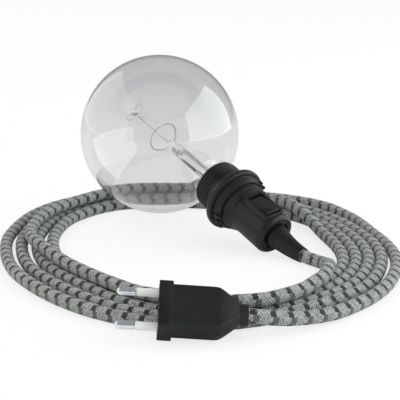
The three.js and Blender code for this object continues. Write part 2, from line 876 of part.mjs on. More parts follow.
function aboutPivot(geometry) {
  const toSide = new THREE.Matrix4().makeBasis(
    new THREE.Vector3(0, 0, 1),
    new THREE.Vector3(1, 0, 0),
    new THREE.Vector3(0, 1, 0),
  );
  return geometry
    .applyMatrix4(toSide)
    .rotateY(radians(rockerTilt))
    .translate(rockerPivotHeight, 0, rockerStation);
}

function rocker() {
  const body = new THREE.ExtrudeGeometry(rockerOutline(), {
    depth: rockerWidth, bevelEnabled: false, curveSegments: 5,
  }).translate(0, 0, -rockerWidth / 2);
  const pinEnd = rockerWidth / 2 + rockerPinLength;
  const pin = cylinder(rockerPinDiameter, -pinEnd, pinEnd);
  const fall = (rockerFlatHeight - rockerGripHeight) / (rockerLength / 2 - rockerRidge);
  const ribs = Array.from({ length: rockerRibCount }, (_, i) => {
    const along = rockerRidge + rockerRibInset + i * rockerRibPitch;
    const height = rockerFlatHeight - (along - rockerRidge) * fall;
    return box(rockerRibWidth, rockerRibHeight * 2, rockerWidth - 2 * rockerRibMargin, along, height, 0);
  });
  return piece('rocker', aboutPivot(join(body, pin, ...ribs)), finishes.blackPlastic);
}

const bridgeHeight = -rockerDepth - touchGap;

// A spring strip under the rocker that joins the two fixed contacts
function contactBridge() {
  const strip = box(
    bridgeLength, contactStripThickness, bridgeWidth,
    0, bridgeHeight - contactStripThickness / 2, 0,
  );
  return piece('contact_bridge', aboutPivot(strip), finishes.brass);
}

const contactReach = (bridgeLength - fixedContactLength) / 2;
const bridgeDrop = (bridgeLength / 2) * Math.sin(radians(rockerTilt));
const contactTop = rockerPivotHeight + bridgeHeight - contactStripThickness - bridgeDrop - touchGap;

// Two fixed contacts side by side below the end of the bridge that is down
function fixedContacts() {
  return [[-1, 'fixed_contact_live'], [1, 'fixed_contact_lamp']].map(([sign, name]) => {
    const blade = box(
      contactStripThickness, fixedContactWidth, fixedContactLength,
      contactTop - contactStripThickness / 2, sign * fixedContactOffset, rockerStation - contactReach,
    );
    return piece(name, blade, finishes.brass);
  });
}

// Cord outlet

// A point on the boot's centre line at a station, with its direction: straight, then bent upwards by the table
function bootCentre(station) {
  const bendLength = bootTipStation - bootBendStart;
  const share = Math.max(0, (station - bootBendStart) / bendLength);
  const angle = radians(bootBend) * share;
  const bendRadius = bendLength / radians(bootBend);
  const straight = Math.min(station, bootBendStart);
  const rise = bendRadius * (1 - Math.cos(angle));
  const up = new THREE.Vector3(1, 0, 0).applyAxisAngle(new THREE.Vector3(0, 0, 1), radians(-switchRoll));
  const point = up.clone().multiplyScalar(rise);
  point.z = straight + bendRadius * Math.sin(angle);
  const direction = up.clone().multiplyScalar(Math.sin(angle));
  direction.z = Math.cos(angle);
  return { point, direction };
}

function bootRing(station, diameter, sides) {
  const { point, direction } = bootCentre(station);
  const turn = new THREE.Quaternion().setFromUnitVectors(new THREE.Vector3(0, 0, 1), direction);
  return Array.from({ length: sides }, (_, i) => (
    ringPoint((360 * i) / sides, diameter / 2, 0).applyQuaternion(turn).add(point)
  ));
}

// Stations along the bend of the boot
function bendStations() {
  return Array.from({ length: 4 }, (_, i) => THREE.MathUtils.lerp(bootBendStart, bootTipStation, i / 3));
}

const bootInnerStation = housingEndStation - housingEndWall - touchGap - bootFlangeThickness;

function strainReliefBoot() {
  const bore = cordDiameter + 2 * touchGap;
  const recessFloor = housingEndStation - outletRecessDepth + touchGap;
  const shoulder = recessFloor + bootShoulderLength;
  const outer = [
    [bootInnerStation, bootFlangeDiameter],
    [bootInnerStation + bootFlangeThickness, bootFlangeDiameter],
    [bootInnerStation + bootFlangeThickness, bootNeckDiameter],
    [recessFloor, bootNeckDiameter],
    [recessFloor, bootBaseDiameter],
    [shoulder, bootBaseDiameter],
  ];
  const taperSteps = 5;
  for (let i = 1; i <= taperSteps; i += 1) {
    const share = i / taperSteps;
    const widest = bootBaseDiameter - bootShoulderStep;
    const diameter = THREE.MathUtils.lerp(widest, bootTipDiameter, share ** bootTaperCurve);
    outer.push([THREE.MathUtils.lerp(shoulder, bootTipStation, share), diameter]);
  }
  const boreStations = [...bendStations().reverse(), bootInnerStation];
  const rings = [
    ...outer.map(([station, diameter]) => bootRing(station, diameter, bootSegments)),
    ...boreStations.map((station) => bootRing(station, bore, bootSegments)),
  ];
  return piece('strain_relief_boot', loft(rings, true), finishes.softBlack);
}

const gripEnd = bootInnerStation - touchGap;
const gripStart = gripEnd - gripLength;

function cordGrip() {
  const inner = cordRadius + touchGap;
  const outer = inner + gripWall;
  const outline = [[inner, gripStart], [outer, gripStart], [outer, gripEnd], [inner, gripEnd]];
  return piece('cord_grip', turnedRing(outline, fineSegments), finishes.nickel);
}

// The end of the cord inside the boot and the housing
function innerCord() {
  const stations = [innerCordStation, gripEnd, ...bendStations()];
  const path = smoothCurve(stations.map((station) => bootCentre(station).point));
  return piece('inner_cord', roundBar(path, cordDiameter, cordSides, 10), finishes.textile);
}

function wire(name, points, finish) {
  return piece(name, roundBar(smoothCurve(points), wireDiameter, wireSides + 2, 10), finish);
}

// Insulated wires from the cord's end to the switch and the terminals
function innerWires() {
  const start = innerCordStation - touchGap;
  const terminalEnd = terminalStart + terminalLength;
  const inTerminal = terminalEnd - 1.2;
  const underContact = contactTop - contactStripThickness - touchGap - wireDiameter / 2;
  const contactStation = rockerStation - contactReach;
  return [
    wire('live_wire', [
      [1, -1.6, start - 0.1],
      [1.5, -1.65, start - 1.3],
      [underContact - 1.3, -1.75, contactStation + 1],
      [underContact, -fixedContactOffset, contactStation],
    ], finishes.wireBrown),
    wire('switched_wire', [
      [underContact, fixedContactOffset, contactStation],
      [underContact / 2, (fixedContactOffset + terminalOffset) / 2, (contactStation + terminalEnd) / 2 + 0.6],
      [0, terminalOffset, terminalEnd],
      [0, terminalOffset, inTerminal],
    ], finishes.wireBrown),
    wire('neutral_wire', [
      [-1.5, 0.4, start],
      [-1.6, 0.2, start - 1],
      [-2.2, -terminalOffset / 2, (start + terminalEnd) / 2 + 1],
      [0, -terminalOffset, terminalEnd],
      [0, -terminalOffset, inTerminal],
    ], finishes.wireBlue),
  ];
}

// Plug

// A section across the plug: chamfered like the body, or rounder towards the neck
function plugSection(x, width, height, round) {
  const halfWidth = width / 2;
  const halfHeight = height / 2;
  const boxy = [
    [halfWidth, halfHeight * plugSideShare],
    [halfWidth - plugBevel, halfHeight - plugCorner],
    [halfWidth - plugBevel - plugCorner, halfHeight],
  ];
  const quarter = boxy.map(([y, z], i) => {
    const angle = radians(15 + 30 * i);
    return [
      THREE.MathUtils.lerp(y, halfWidth * Math.cos(angle), round),
      THREE.MathUtils.lerp(z, halfHeight * Math.sin(angle), round),
    ];
  });
  const mirrored = quarter.slice().reverse();
  return [
    ...quarter,
    ...mirrored.map(([y, z]) => [-y, z]),
    ...quarter.map(([y, z]) => [-y, -z]),
    ...mirrored.map(([y, z]) => [y, -z]),
  ].map(([y, z]) => new THREE.Vector3(x, y, z));
}

function plugBody() {
  const bodyEnd = plugFlangeThickness + plugBodyLength;
  const neckStart = bodyEnd + plugTaperLength;
  const neckEnd = neckStart + plugNeckLength;
  const rings = [
    plugSection(0, plugFlangeWidth - plugFlangeEdge, plugFlangeHeight - plugFlangeEdge, 0),
    plugSection(plugFlangeEdge, plugFlangeWidth, plugFlangeHeight, 0),
    plugSection(plugFlangeThickness - plugFlangeEdge, plugFlangeWidth, plugFlangeHeight, 0),
    plugSection(plugFlangeThickness, plugBodyWidth, plugBodyHeight, 0),
    plugSection(bodyEnd, plugBodyWidth, plugBodyHeight, 0),
  ];
  const taperSteps = 4;
  const fullFall = 1 - Math.cos(radians(plugTaperSweep));
  for (let i = 1; i <= taperSteps; i += 1) {
    const share = i / taperSteps;
    const bend = Math.asin(share * Math.sin(radians(plugTaperSweep)));
    const fall = 1 - Math.cos(bend);
    rings.push(plugSection(
      bodyEnd + plugTaperLength * share,
      THREE.MathUtils.lerp(plugBodyWidth, plugNeckWidth, fall / fullFall),
      THREE.MathUtils.lerp(plugBodyHeight, plugNeckHeight, share ** 2),
      share,
    ));
  }
  rings.push(plugSection(neckEnd, plugNeckWidth, plugNeckHeight, 1));
  const holes = [-1, 1].flatMap((sign) => [
    cylinder(pinCoreDiameter + 2 * touchGap, -cutOverrun, pinRootLength + touchGap),
    cylinder(pinSleeveDiameter + 2 * touchGap, -cutOverrun, pinSleeveRoot + touchGap),
  ].map((hole) => hole.rotateY(Math.PI / 2).translate(0, (sign * pinPitch) / 2, 0)));
  return piece('plug_body', cut(loft(rings, false), ...holes), finishes.softBlack);
}

function plugPins() {
  const core = pinCoreDiameter / 2;
  const tip = pinDiameter / 2;
  return [[-1, 'a'], [1, 'b']].flatMap(([sign, label]) => {
    const pin = turned([
      [0, -pinRootLength],
      [core, -pinRootLength],
      [core, pinSleeveLength + touchGap],
      [tip, pinSleeveLength + touchGap],
      [tip, pinLength - tip],
      ...arcPoints([0, pinLength - tip], tip, 25, 65, 2),
      [0, pinLength],
    ], smallSegments);
    const inner = core + touchGap;
    const outer = pinSleeveDiameter / 2;
    const sleeve = turnedRing([
      [inner, -pinSleeveRoot],
      [outer, -pinSleeveRoot],
      [outer, pinSleeveLength],
      [inner, pinSleeveLength],
    ], smallSegments);
    const place = (geometry) => geometry.rotateY(-Math.PI / 2).translate(0, (sign * pinPitch) / 2, 0);
    return [
      piece(`pin_${label}`, place(pin), finishes.nickel),
      piece(`pin_sleeve_${label}`, place(sleeve), finishes.sleeveGrey),
    ];
  });
}

// Cord on the table

// The coil as one body: at each station across the turns, flat below, with a ridge for the strand on top
function cordCoil() {
  const line = (key) => new THREE.CatmullRomCurve3(
    coilStations.map((station) => new THREE.Vector3(...station[key], cordRadius)), true, 'centripetal',
  );
  const innerLine = line('inner');
  const outerLine = line('outer');
  const valueAt = (key, place) => {
    const index = Math.floor(place);
    const here = coilStations[index % coilStations.length][key];
    const next = coilStations[(index + 1) % coilStations.length][key];
    return THREE.MathUtils.lerp(here, next, place - index);
  };
  const rings = Array.from({ length: coilSteps }, (_, i) => {
    const share = i / coilSteps;
    const inner = innerLine.getPoint(share);
    const outer = outerLine.getPoint(share);
    const across = outer.clone().sub(inner);
    const width = across.length();
    across.normalize();
    const place = share * coilStations.length;
    const topMiddle = valueAt('top', place) * width;
    const topHeight = cordDiameter + coilStackRise * valueAt('rise', place);
    const low = Math.max(topMiddle - coilTopHalfWidth, 0);
    const high = Math.min(topMiddle + coilTopHalfWidth, width);
    const section = [
      ...arcPoints([0, cordRadius], cordRadius, 270, 90, 4),
      [low + coilCornerStep, cordDiameter],
      [low + coilTopHalfWidth * coilTopSlope, topHeight],
      [high - coilTopHalfWidth * coilTopSlope, topHeight],
      [high - coilCornerStep, cordDiameter],
      ...arcPoints([width, cordRadius], cordRadius, 90, -90, 4),
    ];
    return section.map(([along, height]) => {
      const point = inner.clone().addScaledVector(across, along);
      point.z = height;
      return point;
    });
  });
  return piece('cord_coil', loft(rings, true), finishes.textile);
}

function lead(name, points, steps) {
  return piece(name, roundBar(smoothCurve(points), cordDiameter, cordSides, steps), finishes.textile);
}

// Assembly

// The bulb stops at whatever angle its thread runs tight, and its inner pieces turn with it
const bulbInside = new THREE.Group();
bulbInside.rotation.z = radians(bulbTurn);
bulbInside.add(glassStem(), filament(), ...leadWires(), ...supportHooks());

const lampPieces = [
  globe(),
  bulbInside,
  bulbCap(),
  capInsulator(),
  capContact(),
  frontShell(),
  ringNut(),
  screwShell(),
  contactBase(),
  centreContact(),
  ...terminals(),
  rearHousing(),
  rocker(),
  contactBridge(),
  ...fixedContacts(),
  strainReliefBoot(),
  cordGrip(),
  innerCord(),
  ...innerWires(),
];

// The lamp's own X is the switch side and its Z is the axis from the globe to the cord
const rolled = new THREE.Group();
rolled.rotation.z = radians(switchRoll);
rolled.add(...lampPieces);

const alongX = new THREE.Group();
alongX.quaternion.setFromRotationMatrix(new THREE.Matrix4().makeBasis(
  new THREE.Vector3(0, 0, 1),
  new THREE.Vector3(0, -1, 0),
  new THREE.Vector3(1, 0, 0),
));
alongX.add(rolled);

const declined = new THREE.Group();
declined.rotation.y = radians(lampDecline);
declined.add(alongX);

const lamp = new THREE.Group();
lamp.rotation.z = radians(lampHeading);
lamp.add(declined);

// The lamp's box stands centred on the origin with its lowest point on the table
const lampBox = new THREE.Box3().setFromObject(lamp, true);
lamp.position.set(
  -(lampBox.min.x + lampBox.max.x) / 2,
  -(lampBox.min.y + lampBox.max.y) / 2,
  -lampBox.min.z,
);
lamp.updateMatrixWorld(true);

const plug = new THREE.Group();
plug.rotation.set(radians(plugRoll), radians(plugPitch), radians(plugYaw), 'ZYX');
plug.position.copy(plugFaceCentre);
plug.add(plugBody(), ...plugPins());
plug.position.z -= new THREE.Box3().setFromObject(plug, true).min.z;
plug.updateMatrixWorld(true);

const bootTip = bootCentre(bootTipStation);
const lampExit = rolled.localToWorld(bootTip.point.clone());
const lampExitDirection = bootTip.direction.clone().transformDirection(rolled.matrixWorld);
const lampLeadStart = [touchGap, exitRun].map((run) => (
  lampExit.clone().addScaledVector(lampExitDirection, run)
));

const plugLength = plugFlangeThickness + plugBodyLength + plugTaperLength + plugNeckLength;
const plugLeadEnd = [exitRun, touchGap].map((run) => (
  plug.localToWorld(new THREE.Vector3(plugLength + run, 0, 0))
));

const pendantCordSet = new THREE.Group();
pendantCordSet.add(
  lamp,
  cordCoil(),
  lead('lamp_lead', [...lampLeadStart, ...lampLeadPoints], lampLeadSteps),
  lead('plug_lead', [...plugLeadPoints, ...plugLeadEnd], plugLeadSteps),
  plug,
);

export default pendantCordSet;
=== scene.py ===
import json
import math

import bmesh
import bpy
from mathutils import Matrix, Vector


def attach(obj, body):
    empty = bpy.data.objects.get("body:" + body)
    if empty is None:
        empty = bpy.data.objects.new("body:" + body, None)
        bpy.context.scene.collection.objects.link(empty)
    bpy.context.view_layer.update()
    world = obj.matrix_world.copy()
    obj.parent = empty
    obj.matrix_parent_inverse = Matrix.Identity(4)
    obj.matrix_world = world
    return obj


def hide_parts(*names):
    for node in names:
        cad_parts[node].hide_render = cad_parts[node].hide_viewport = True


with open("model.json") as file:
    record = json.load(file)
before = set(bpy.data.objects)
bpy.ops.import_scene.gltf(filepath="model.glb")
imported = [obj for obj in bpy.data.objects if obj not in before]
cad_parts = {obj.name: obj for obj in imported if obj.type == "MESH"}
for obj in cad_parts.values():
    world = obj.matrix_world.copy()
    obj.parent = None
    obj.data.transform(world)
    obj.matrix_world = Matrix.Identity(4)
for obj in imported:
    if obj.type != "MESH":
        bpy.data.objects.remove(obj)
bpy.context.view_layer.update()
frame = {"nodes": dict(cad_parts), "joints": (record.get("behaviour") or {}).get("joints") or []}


# Camera: it stands low in front of the set and looks down on it a little.
# Its long lens keeps the globe round and the cord's turns close together.
CAMERA_PLACE = (0.0066, -0.727, 0.1982)
CAMERA_LENS = 114.75
CAMERA_DIP = 14.0

camera_data = bpy.data.cameras.new("front_camera")
camera_data.lens = CAMERA_LENS
camera_data.clip_end = 20.0
camera = bpy.data.objects.new("front_camera", camera_data)
camera.location = CAMERA_PLACE
camera.rotation_euler = (math.radians(90.0 - CAMERA_DIP), 0.0, 0.0)
bpy.context.collection.objects.link(camera)
bpy.context.scene.camera = camera


# Globe: the bulb's envelope, blown from clear glass with a 1 mm wall.
# Its neck is drawn in to the width of the screw cap and sealed there.
MM = 0.001
GLOBE_RADIUS = 47.5
GLOBE_WALL = 1.0
GLOBE_NECK_RADIUS = 7.6
GLOBE_NECK_FILLET = 4.0
GLOBE_NECK_END = 57.0
NUT_STATION = 75.0

joints = {joint["name"]: joint for joint in frame["joints"]}


def millimetres_in(x, y, z, start):
    """A matrix from millimetres along three directions to metres in the room."""
    matrix = Matrix((x, y, z)).transposed().to_4x4()
    matrix.translation = start
    return matrix @ Matrix.Scale(MM, 4)


# The lamp's own frame: Z runs along its axis from the globe to the cord, X stands up through the switch
lamp_z = Vector(joints["ring_nut_turn"]["axis"]).normalized()
lamp_y = -Vector(joints["rocker_tilt"]["axis"]).normalized()
lamp_x = lamp_y.cross(lamp_z).normalized()
globe_centre = Vector(joints["ring_nut_turn"]["pos_m"]) - lamp_z * NUT_STATION * MM
LAMP = millimetres_in(lamp_x, lamp_y, lamp_z, globe_centre)


class Signal:
    """An output of a node. Arithmetic on it adds Math nodes."""

    def __init__(self, nodes, socket):
        self.nodes = nodes
        self.socket = socket

    def math(self, operation, *others):
        return self.nodes.math(operation, self, *others)

    def __add__(self, other):
        return self.math("ADD", other)

    def __sub__(self, other):
        return self.math("SUBTRACT", other)

    def __rsub__(self, other):
        return self.nodes.math("SUBTRACT", other, self)

    def __mul__(self, other):
        return self.math("MULTIPLY", other)

    def __truediv__(self, other):
        return self.math("DIVIDE", other)

    def __rtruediv__(self, other):
        return self.nodes.math("DIVIDE", other, self)

    __radd__ = __add__
    __rmul__ = __mul__

    def ramp(self, low, high):
        """0 below low, 1 above high, smooth between."""
        values = {"Value": self, "From Min": low, "From Max": high}
        return self.nodes.node("ShaderNodeMapRange", {"interpolation_type": "SMOOTHSTEP"}, values, "Result")


class Nodes:
    """The nodes of a material or of the room."""

    def __init__(self, tree):
        self.tree = tree

    def fill(self, node, values):
        for name, value in values.items():
            if isinstance(value, Signal):
                self.tree.links.new(value.socket, node.inputs[name])
            else:
                node.inputs[name].default_value = value

    def node(self, kind, settings, values, output=0):
        node = self.tree.nodes.new(kind)
        for name, value in settings.items():
            setattr(node, name, value)
        self.fill(node, values)
        return Signal(self, node.outputs[output])

    def math(self, operation, *values):
        return self.node("ShaderNodeMath", {"operation": operation}, dict(enumerate(values)))


class Finish(Nodes):
    """A material with one Principled surface."""

    def __init__(self, name, surface):
        self.material = bpy.data.materials.new(name)
        self.material.use_nodes = True
        super().__init__(self.material.node_tree)
        self.surface = self.tree.nodes["Principled BSDF"]
        self.fill(self.surface, surface)

    def noise(self, scale, detail):
        place = self.node("ShaderNodeTexCoord", {}, {}, "Object")
        return self.node("ShaderNodeTexNoise", {}, {"Vector": place, "Scale": scale, "Detail": detail})

    def mixed(self, share, low, high):
        return self.node("ShaderNodeMix", {"data_type": "RGBA"}, {0: share, 6: low, 7: high}, 2)

    def bumped(self, height, distance):
        normal = self.node("ShaderNodeBump", {}, {"Height": height, "Distance": distance})
        self.fill(self.surface, {"Normal": normal})


def arc(centre_x, centre_y, radius, start, end, steps):
    """Points on an arc between two angles in degrees."""
    angles = [math.radians(start + (end - start) * k / steps) for k in range(steps + 1)]
    return [(centre_x + radius * math.cos(a), centre_y + radius * math.sin(a)) for a in angles]


def turned(profile, segments):
    """A body turned from (radius, station) points that end on the axis or form a loop."""
    maker = bmesh.new()
    corners = [maker.verts.new((radius, 0.0, station)) for radius, station in profile]
    edges = [maker.edges.new(pair) for pair in zip(corners, corners[1:])]
    if profile[0][0] > 0.001:
        edges.append(maker.edges.new((corners[-1], corners[0])))
    bmesh.ops.spin(
        maker, geom=corners + edges, cent=(0, 0, 0), axis=(0, 0, 1), dvec=(0, 0, 0),
        angle=math.tau, steps=segments, use_merge=True,
    )
    bmesh.ops.remove_doubles(maker, verts=maker.verts, dist=0.001)
    return maker


def made(name, maker, place, sharp=32.0):
    """The object of a finished mesh: smooth faces, with sharp edges where they meet steeply."""
    bmesh.ops.transform(maker, matrix=place, verts=maker.verts)
    bmesh.ops.recalc_face_normals(maker, faces=maker.faces)
    for face in maker.faces:
        face.smooth = True
    mesh = bpy.data.meshes.new(name)
    maker.to_mesh(mesh)
    maker.free()
    mesh.set_sharp_from_angle(angle=math.radians(sharp))
    piece = bpy.data.objects.new(name, mesh)
    bpy.context.collection.objects.link(piece)
    return piece


def fitted(piece, finish, slot, body, *solids):
    """Gives a piece its finish and its body, in the place of the solids named."""
    piece.data.materials.clear()
    piece.data.materials.append(finish.material)
    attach(piece, body)
    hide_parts(*solids)


def blown_wall(radius, neck_radius, fillet):
    """Half the section of one glass surface, from the far pole to the end of the neck."""
    fillet_station = math.sqrt((radius + fillet) ** 2 - (neck_radius + fillet) ** 2)
    meeting = math.degrees(math.atan2(fillet_station, neck_radius + fillet))
    wall = [(0.0, -radius)] + arc(0.0, 0.0, radius, -88.0, meeting, 60)
    wall += arc(neck_radius + fillet, fillet_station, fillet, meeting + 180.0, 180.0, 6)[1:]
    return wall + [(neck_radius, GLOBE_NECK_END)]


clear_glass = Finish("clear_glass", {
    "Base Color": (0.97, 0.972, 0.972, 1.0),
    "Transmission Weight": 1.0,
    "IOR": 1.45,
})
breath = clear_glass.noise(18.0, 1.0)
clear_glass.fill(clear_glass.surface, {"Roughness": breath.ramp(0.72, 0.95) * 0.012})

outer_wall = blown_wall(GLOBE_RADIUS, GLOBE_NECK_RADIUS, GLOBE_NECK_FILLET)
inner_wall = blown_wall(
    GLOBE_RADIUS - GLOBE_WALL, GLOBE_NECK_RADIUS - GLOBE_WALL, GLOBE_NECK_FILLET + GLOBE_WALL
)
blown_globe = made("blown_globe", turned(outer_wall + inner_wall[::-1], 128), LAMP)
blown_globe.visible_shadow = False
fitted(blown_globe, clear_glass, "clear_glass", "cord_set", "globe")


# Stem: a flared glass tube that carries the filament, pinched flat round the lead wires at its press.
# A thin glass rod goes on from the press to a melted button, and the flare is fused to the globe's neck.
STEM_TUBE_RADIUS = 3.5
STEM_BORE_RADIUS = 2.3
PRESS_STATION = 12.0
PRESS_END = 19.0
PRESS_HALF_WIDTH = 4.2
PRESS_HALF_DEPTH = 1.8
ROD_RADIUS = 0.8
BUTTON_STATION = -27.0
BUTTON_RADIUS = 2.3
BULB_TURN = 40.0

# The filament and its stem are turned in the cap by where the bulb's thread stops
BULB = LAMP @ Matrix.Rotation(math.radians(BULB_TURN), 4, "Z")


def ease(value):
    value = min(max(value, 0.0), 1.0)
    return value * value * (3 - 2 * value)


button = arc(0.0, BUTTON_STATION, BUTTON_RADIUS, -75.0, 62.0, 10)
stem_profile = [(0.0, BUTTON_STATION - BUTTON_RADIUS), *button]
stem_profile += [
    (ROD_RADIUS * 1.15, BUTTON_STATION + BUTTON_RADIUS + 0.2),
    (ROD_RADIUS, BUTTON_STATION + 4.0),
]
stem_profile += [(ROD_RADIUS, PRESS_STATION - 2.5), (ROD_RADIUS * 1.5, PRESS_STATION - 1.2)]
stem_profile += [(PRESS_HALF_WIDTH * 0.86, PRESS_STATION)]
for step in range(1, 13):
    share = step / 12
    widening = PRESS_HALF_WIDTH + (STEM_TUBE_RADIUS - PRESS_HALF_WIDTH) * ease(share * 1.2 - 0.2)
    stem_profile.append((widening, PRESS_STATION + (PRESS_END - PRESS_STATION) * share))
stem_profile += [(STEM_TUBE_RADIUS, station) for station in (30.0, 42.0, 51.0)]
stem_profile += [(3.85, 53.4), (4.6, 55.2), (5.8, 56.6), (7.3, 57.3), (7.3, 58.1), (4.2, 58.1), (2.8, 55.0)]
stem_profile += [(STEM_BORE_RADIUS, station) for station in (53.0, 42.0, 30.0, PRESS_END + 4.0)]
stem_profile += [(2.1, PRESS_END + 2.6), (1.3, PRESS_END + 1.5), (0.0, PRESS_END + 1.0)]
stem = turned(stem_profile, 48)
for vertex in stem.verts:
    if PRESS_STATION - 0.1 < vertex.co.z < PRESS_END + 0.1:
        share = (vertex.co.z - PRESS_STATION) / (PRESS_END - PRESS_STATION)
        depth = PRESS_HALF_DEPTH + (STEM_TUBE_RADIUS - PRESS_HALF_DEPTH) * ease(share * 1.25 - 0.25)
        vertex.co.y *= depth / (PRESS_HALF_WIDTH if share < 0.2 else STEM_TUBE_RADIUS)
pressed_stem = made("pressed_stem", stem, BULB)
pressed_stem.visible_shadow = False
stem_glass = Finish("stem_glass", {
    "Base Color": (0.96, 0.965, 0.96, 1.0),
    "Transmission Weight": 1.0,
    "IOR": 1.47,
})
streaks = stem_glass.noise(40.0, 2.0)
stem_glass.fill(stem_glass.surface, {"Roughness": streaks.ramp(0.6, 0.9) * 0.02})
fitted(pressed_stem, stem_glass, "clear_glass", "cord_set", "glass_stem")


# Filament: a fine tungsten coil, bent into an open ring round the rod.
# Two nickel leads come out of the press to its ends, and three wire hooks stand on the button.
FILAMENT_RING_RADIUS = 9.0
FILAMENT_STATION = 3.5
FILAMENT_OPENING = 76.0
FILAMENT_COIL_RADIUS = 0.36
FILAMENT_TURNS = 70
FILAMENT_STEPS = 12


def ring_point(degrees, radius, station):
    turn = math.radians(degrees)
    return Vector((radius * math.cos(turn), radius * math.sin(turn), station))


def bent_wire(name, points, radius, place, curved=True):
    """A round wire along points, or along a smooth curve that they pull into shape."""
    data = bpy.data.curves.new(name, "CURVE")
    data.dimensions = "3D"
    data.bevel_depth = radius
    data.bevel_resolution = 2
    data.use_fill_caps = True
    spline = data.splines.new("NURBS" if curved else "POLY")
    spline.points.add(len(points) - 1)
    for knot, point in zip(spline.points, points):
        knot.co = (*point, 1.0)
    spline.use_endpoint_u = True
    spline.order_u = min(4, len(points))
    drawn = bpy.data.objects.new(name + "_curve", data)
    bpy.context.collection.objects.link(drawn)
    bpy.context.view_layer.update()
    mesh = bpy.data.meshes.new_from_object(drawn)
    bpy.data.objects.remove(drawn)
    maker = bmesh.new()
    maker.from_mesh(mesh)
    bmesh.ops.remove_doubles(maker, verts=maker.verts, dist=0.0005)
    return made(name, maker, place, 60.0)


tungsten = Finish("tungsten", {"Base Color": (0.34, 0.34, 0.35, 1.0), "Metallic": 1.0})
scale = tungsten.noise(600.0, 3.0)
tungsten.fill(tungsten.surface, {"Roughness": scale * 0.2 + 0.35})
tungsten.bumped(scale, 0.00001)

lead_metal = Finish("lead_metal", {"Base Color": (0.62, 0.61, 0.59, 1.0), "Metallic": 1.0})
drawing = lead_metal.noise(800.0, 2.0)
lead_metal.fill(lead_metal.surface, {"Roughness": drawing * 0.15 + 0.2})
lead_metal.bumped(drawing, 0.00001)

opening_end = 180.0 + FILAMENT_OPENING / 2
ring_sweep = 360.0 - FILAMENT_OPENING
coil = []
for step in range(FILAMENT_TURNS * FILAMENT_STEPS + 1):
    spin = math.tau * step / FILAMENT_STEPS
    along = step / (FILAMENT_TURNS * FILAMENT_STEPS)
    reach = FILAMENT_RING_RADIUS + FILAMENT_COIL_RADIUS * math.cos(spin)
    coil.append(ring_point(
        opening_end + ring_sweep * along, reach, FILAMENT_STATION + FILAMENT_COIL_RADIUS * math.sin(spin)
    ))
filament_coil = bent_wire("filament_coil", coil, 0.08, BULB, curved=False)
fitted(filament_coil, tungsten, "tungsten", "cord_set", "filament")

for label, side, angle in (("a", 1, opening_end), ("b", -1, opening_end + ring_sweep)):
    foot = Vector((0.0, -side * 2.6, PRESS_STATION + 1.0))
    tip = ring_point(angle, FILAMENT_RING_RADIUS, FILAMENT_STATION)
    points = [
        foot,
        Vector((-0.6, -side * 2.9, PRESS_STATION - 2.0)),
        Vector((tip.x * 0.62, -side * 4.4, 8.2)),
        Vector((tip.x * 0.97, tip.y * 0.97, 5.4)),
        tip,
    ]
    lead = bent_wire("nickel_lead_" + label, points, 0.28, BULB)
    fitted(lead, lead_metal, "tungsten", "cord_set", "lead_wire_" + label)

for number in (1, 2, 3):
    angle = 120.0 * number - 60.0
    points = [
        ring_point(angle, 1.6, BUTTON_STATION),
        ring_point(angle, 4.2, BUTTON_STATION - 0.6),
        ring_point(angle, 7.4, BUTTON_STATION + 0.2),
        ring_point(angle, 7.6, BUTTON_STATION + 4.6),
        ring_point(angle, 5.0, BUTTON_STATION + 5.0),
    ]
    hook = bent_wire(f"button_hook_{number}", points, 0.2, BULB)
    fitted(hook, lead_metal, "tungsten", "cord_set", f"support_hook_{number}")


# Front shell: the threaded half of the holder, moulded in black thermoset.
# Its screw thread starts at the mouth and runs out into a smooth band before the ring nut.
SHELL_RADIUS = 14.5
SHELL_ROOT_RADIUS = 14.0
SHELL_BORE_RADIUS = 12.2
SHELL_MOUTH = 56.3
SHELL_THREAD_END = 67.2
SHELL_END = 81.6
SHELL_FLOOR = 1.6
SPIGOT_RADIUS = 11.8
SPIGOT_BORE_RADIUS = 10.3
SPIGOT_END = 86.2
THREAD_PITCH = 1.9
THREAD_TURNS = 4.4
THREAD_STEPS = 72


def rounded(profile, steps=5):
    """A loop of corners, (x, y) for a sharp one or (x, y, radius) for a rounded one."""
    points = []
    for i, corner in enumerate(profile):
        here = Vector(corner[:2])
        if len(corner) == 2:
            points.append((here.x, here.y))
            continue
        before = Vector(profile[i - 1][:2]) - here
        after = Vector(profile[(i + 1) % len(profile)][:2]) - here
        reach = corner[2] / math.tan(before.angle(after) / 2)
        reach = min(reach, before.length * 0.49, after.length * 0.49)
        start = here + before.normalized() * reach
        end = here + after.normalized() * reach
        for k in range(steps + 1):
            t = k / steps
            point = start * (1 - t) ** 2 + here * 2 * t * (1 - t) + end * t**2
            points.append((point.x, point.y))
    return points


def moulded(name, colour, gloss, grain, specular):
    """Moulded plastic: an even colour, a gloss that varies a little, and a fine spark-eroded grain."""
    finish = Finish(name, {"Specular IOR Level": specular})
    cloud = finish.noise(55.0, 4.0)
    lighter = tuple(min(1.0, channel * 1.5 + 0.002) for channel in colour)
    tone = finish.mixed(cloud.ramp(0.35, 0.8), (*colour, 1.0), (*lighter, 1.0))
    finish.fill(finish.surface, {"Base Color": tone, "Roughness": cloud * 0.14 + (gloss - 0.07)})
    finish.bumped(finish.noise(1400.0, 2.0), grain)
    return finish


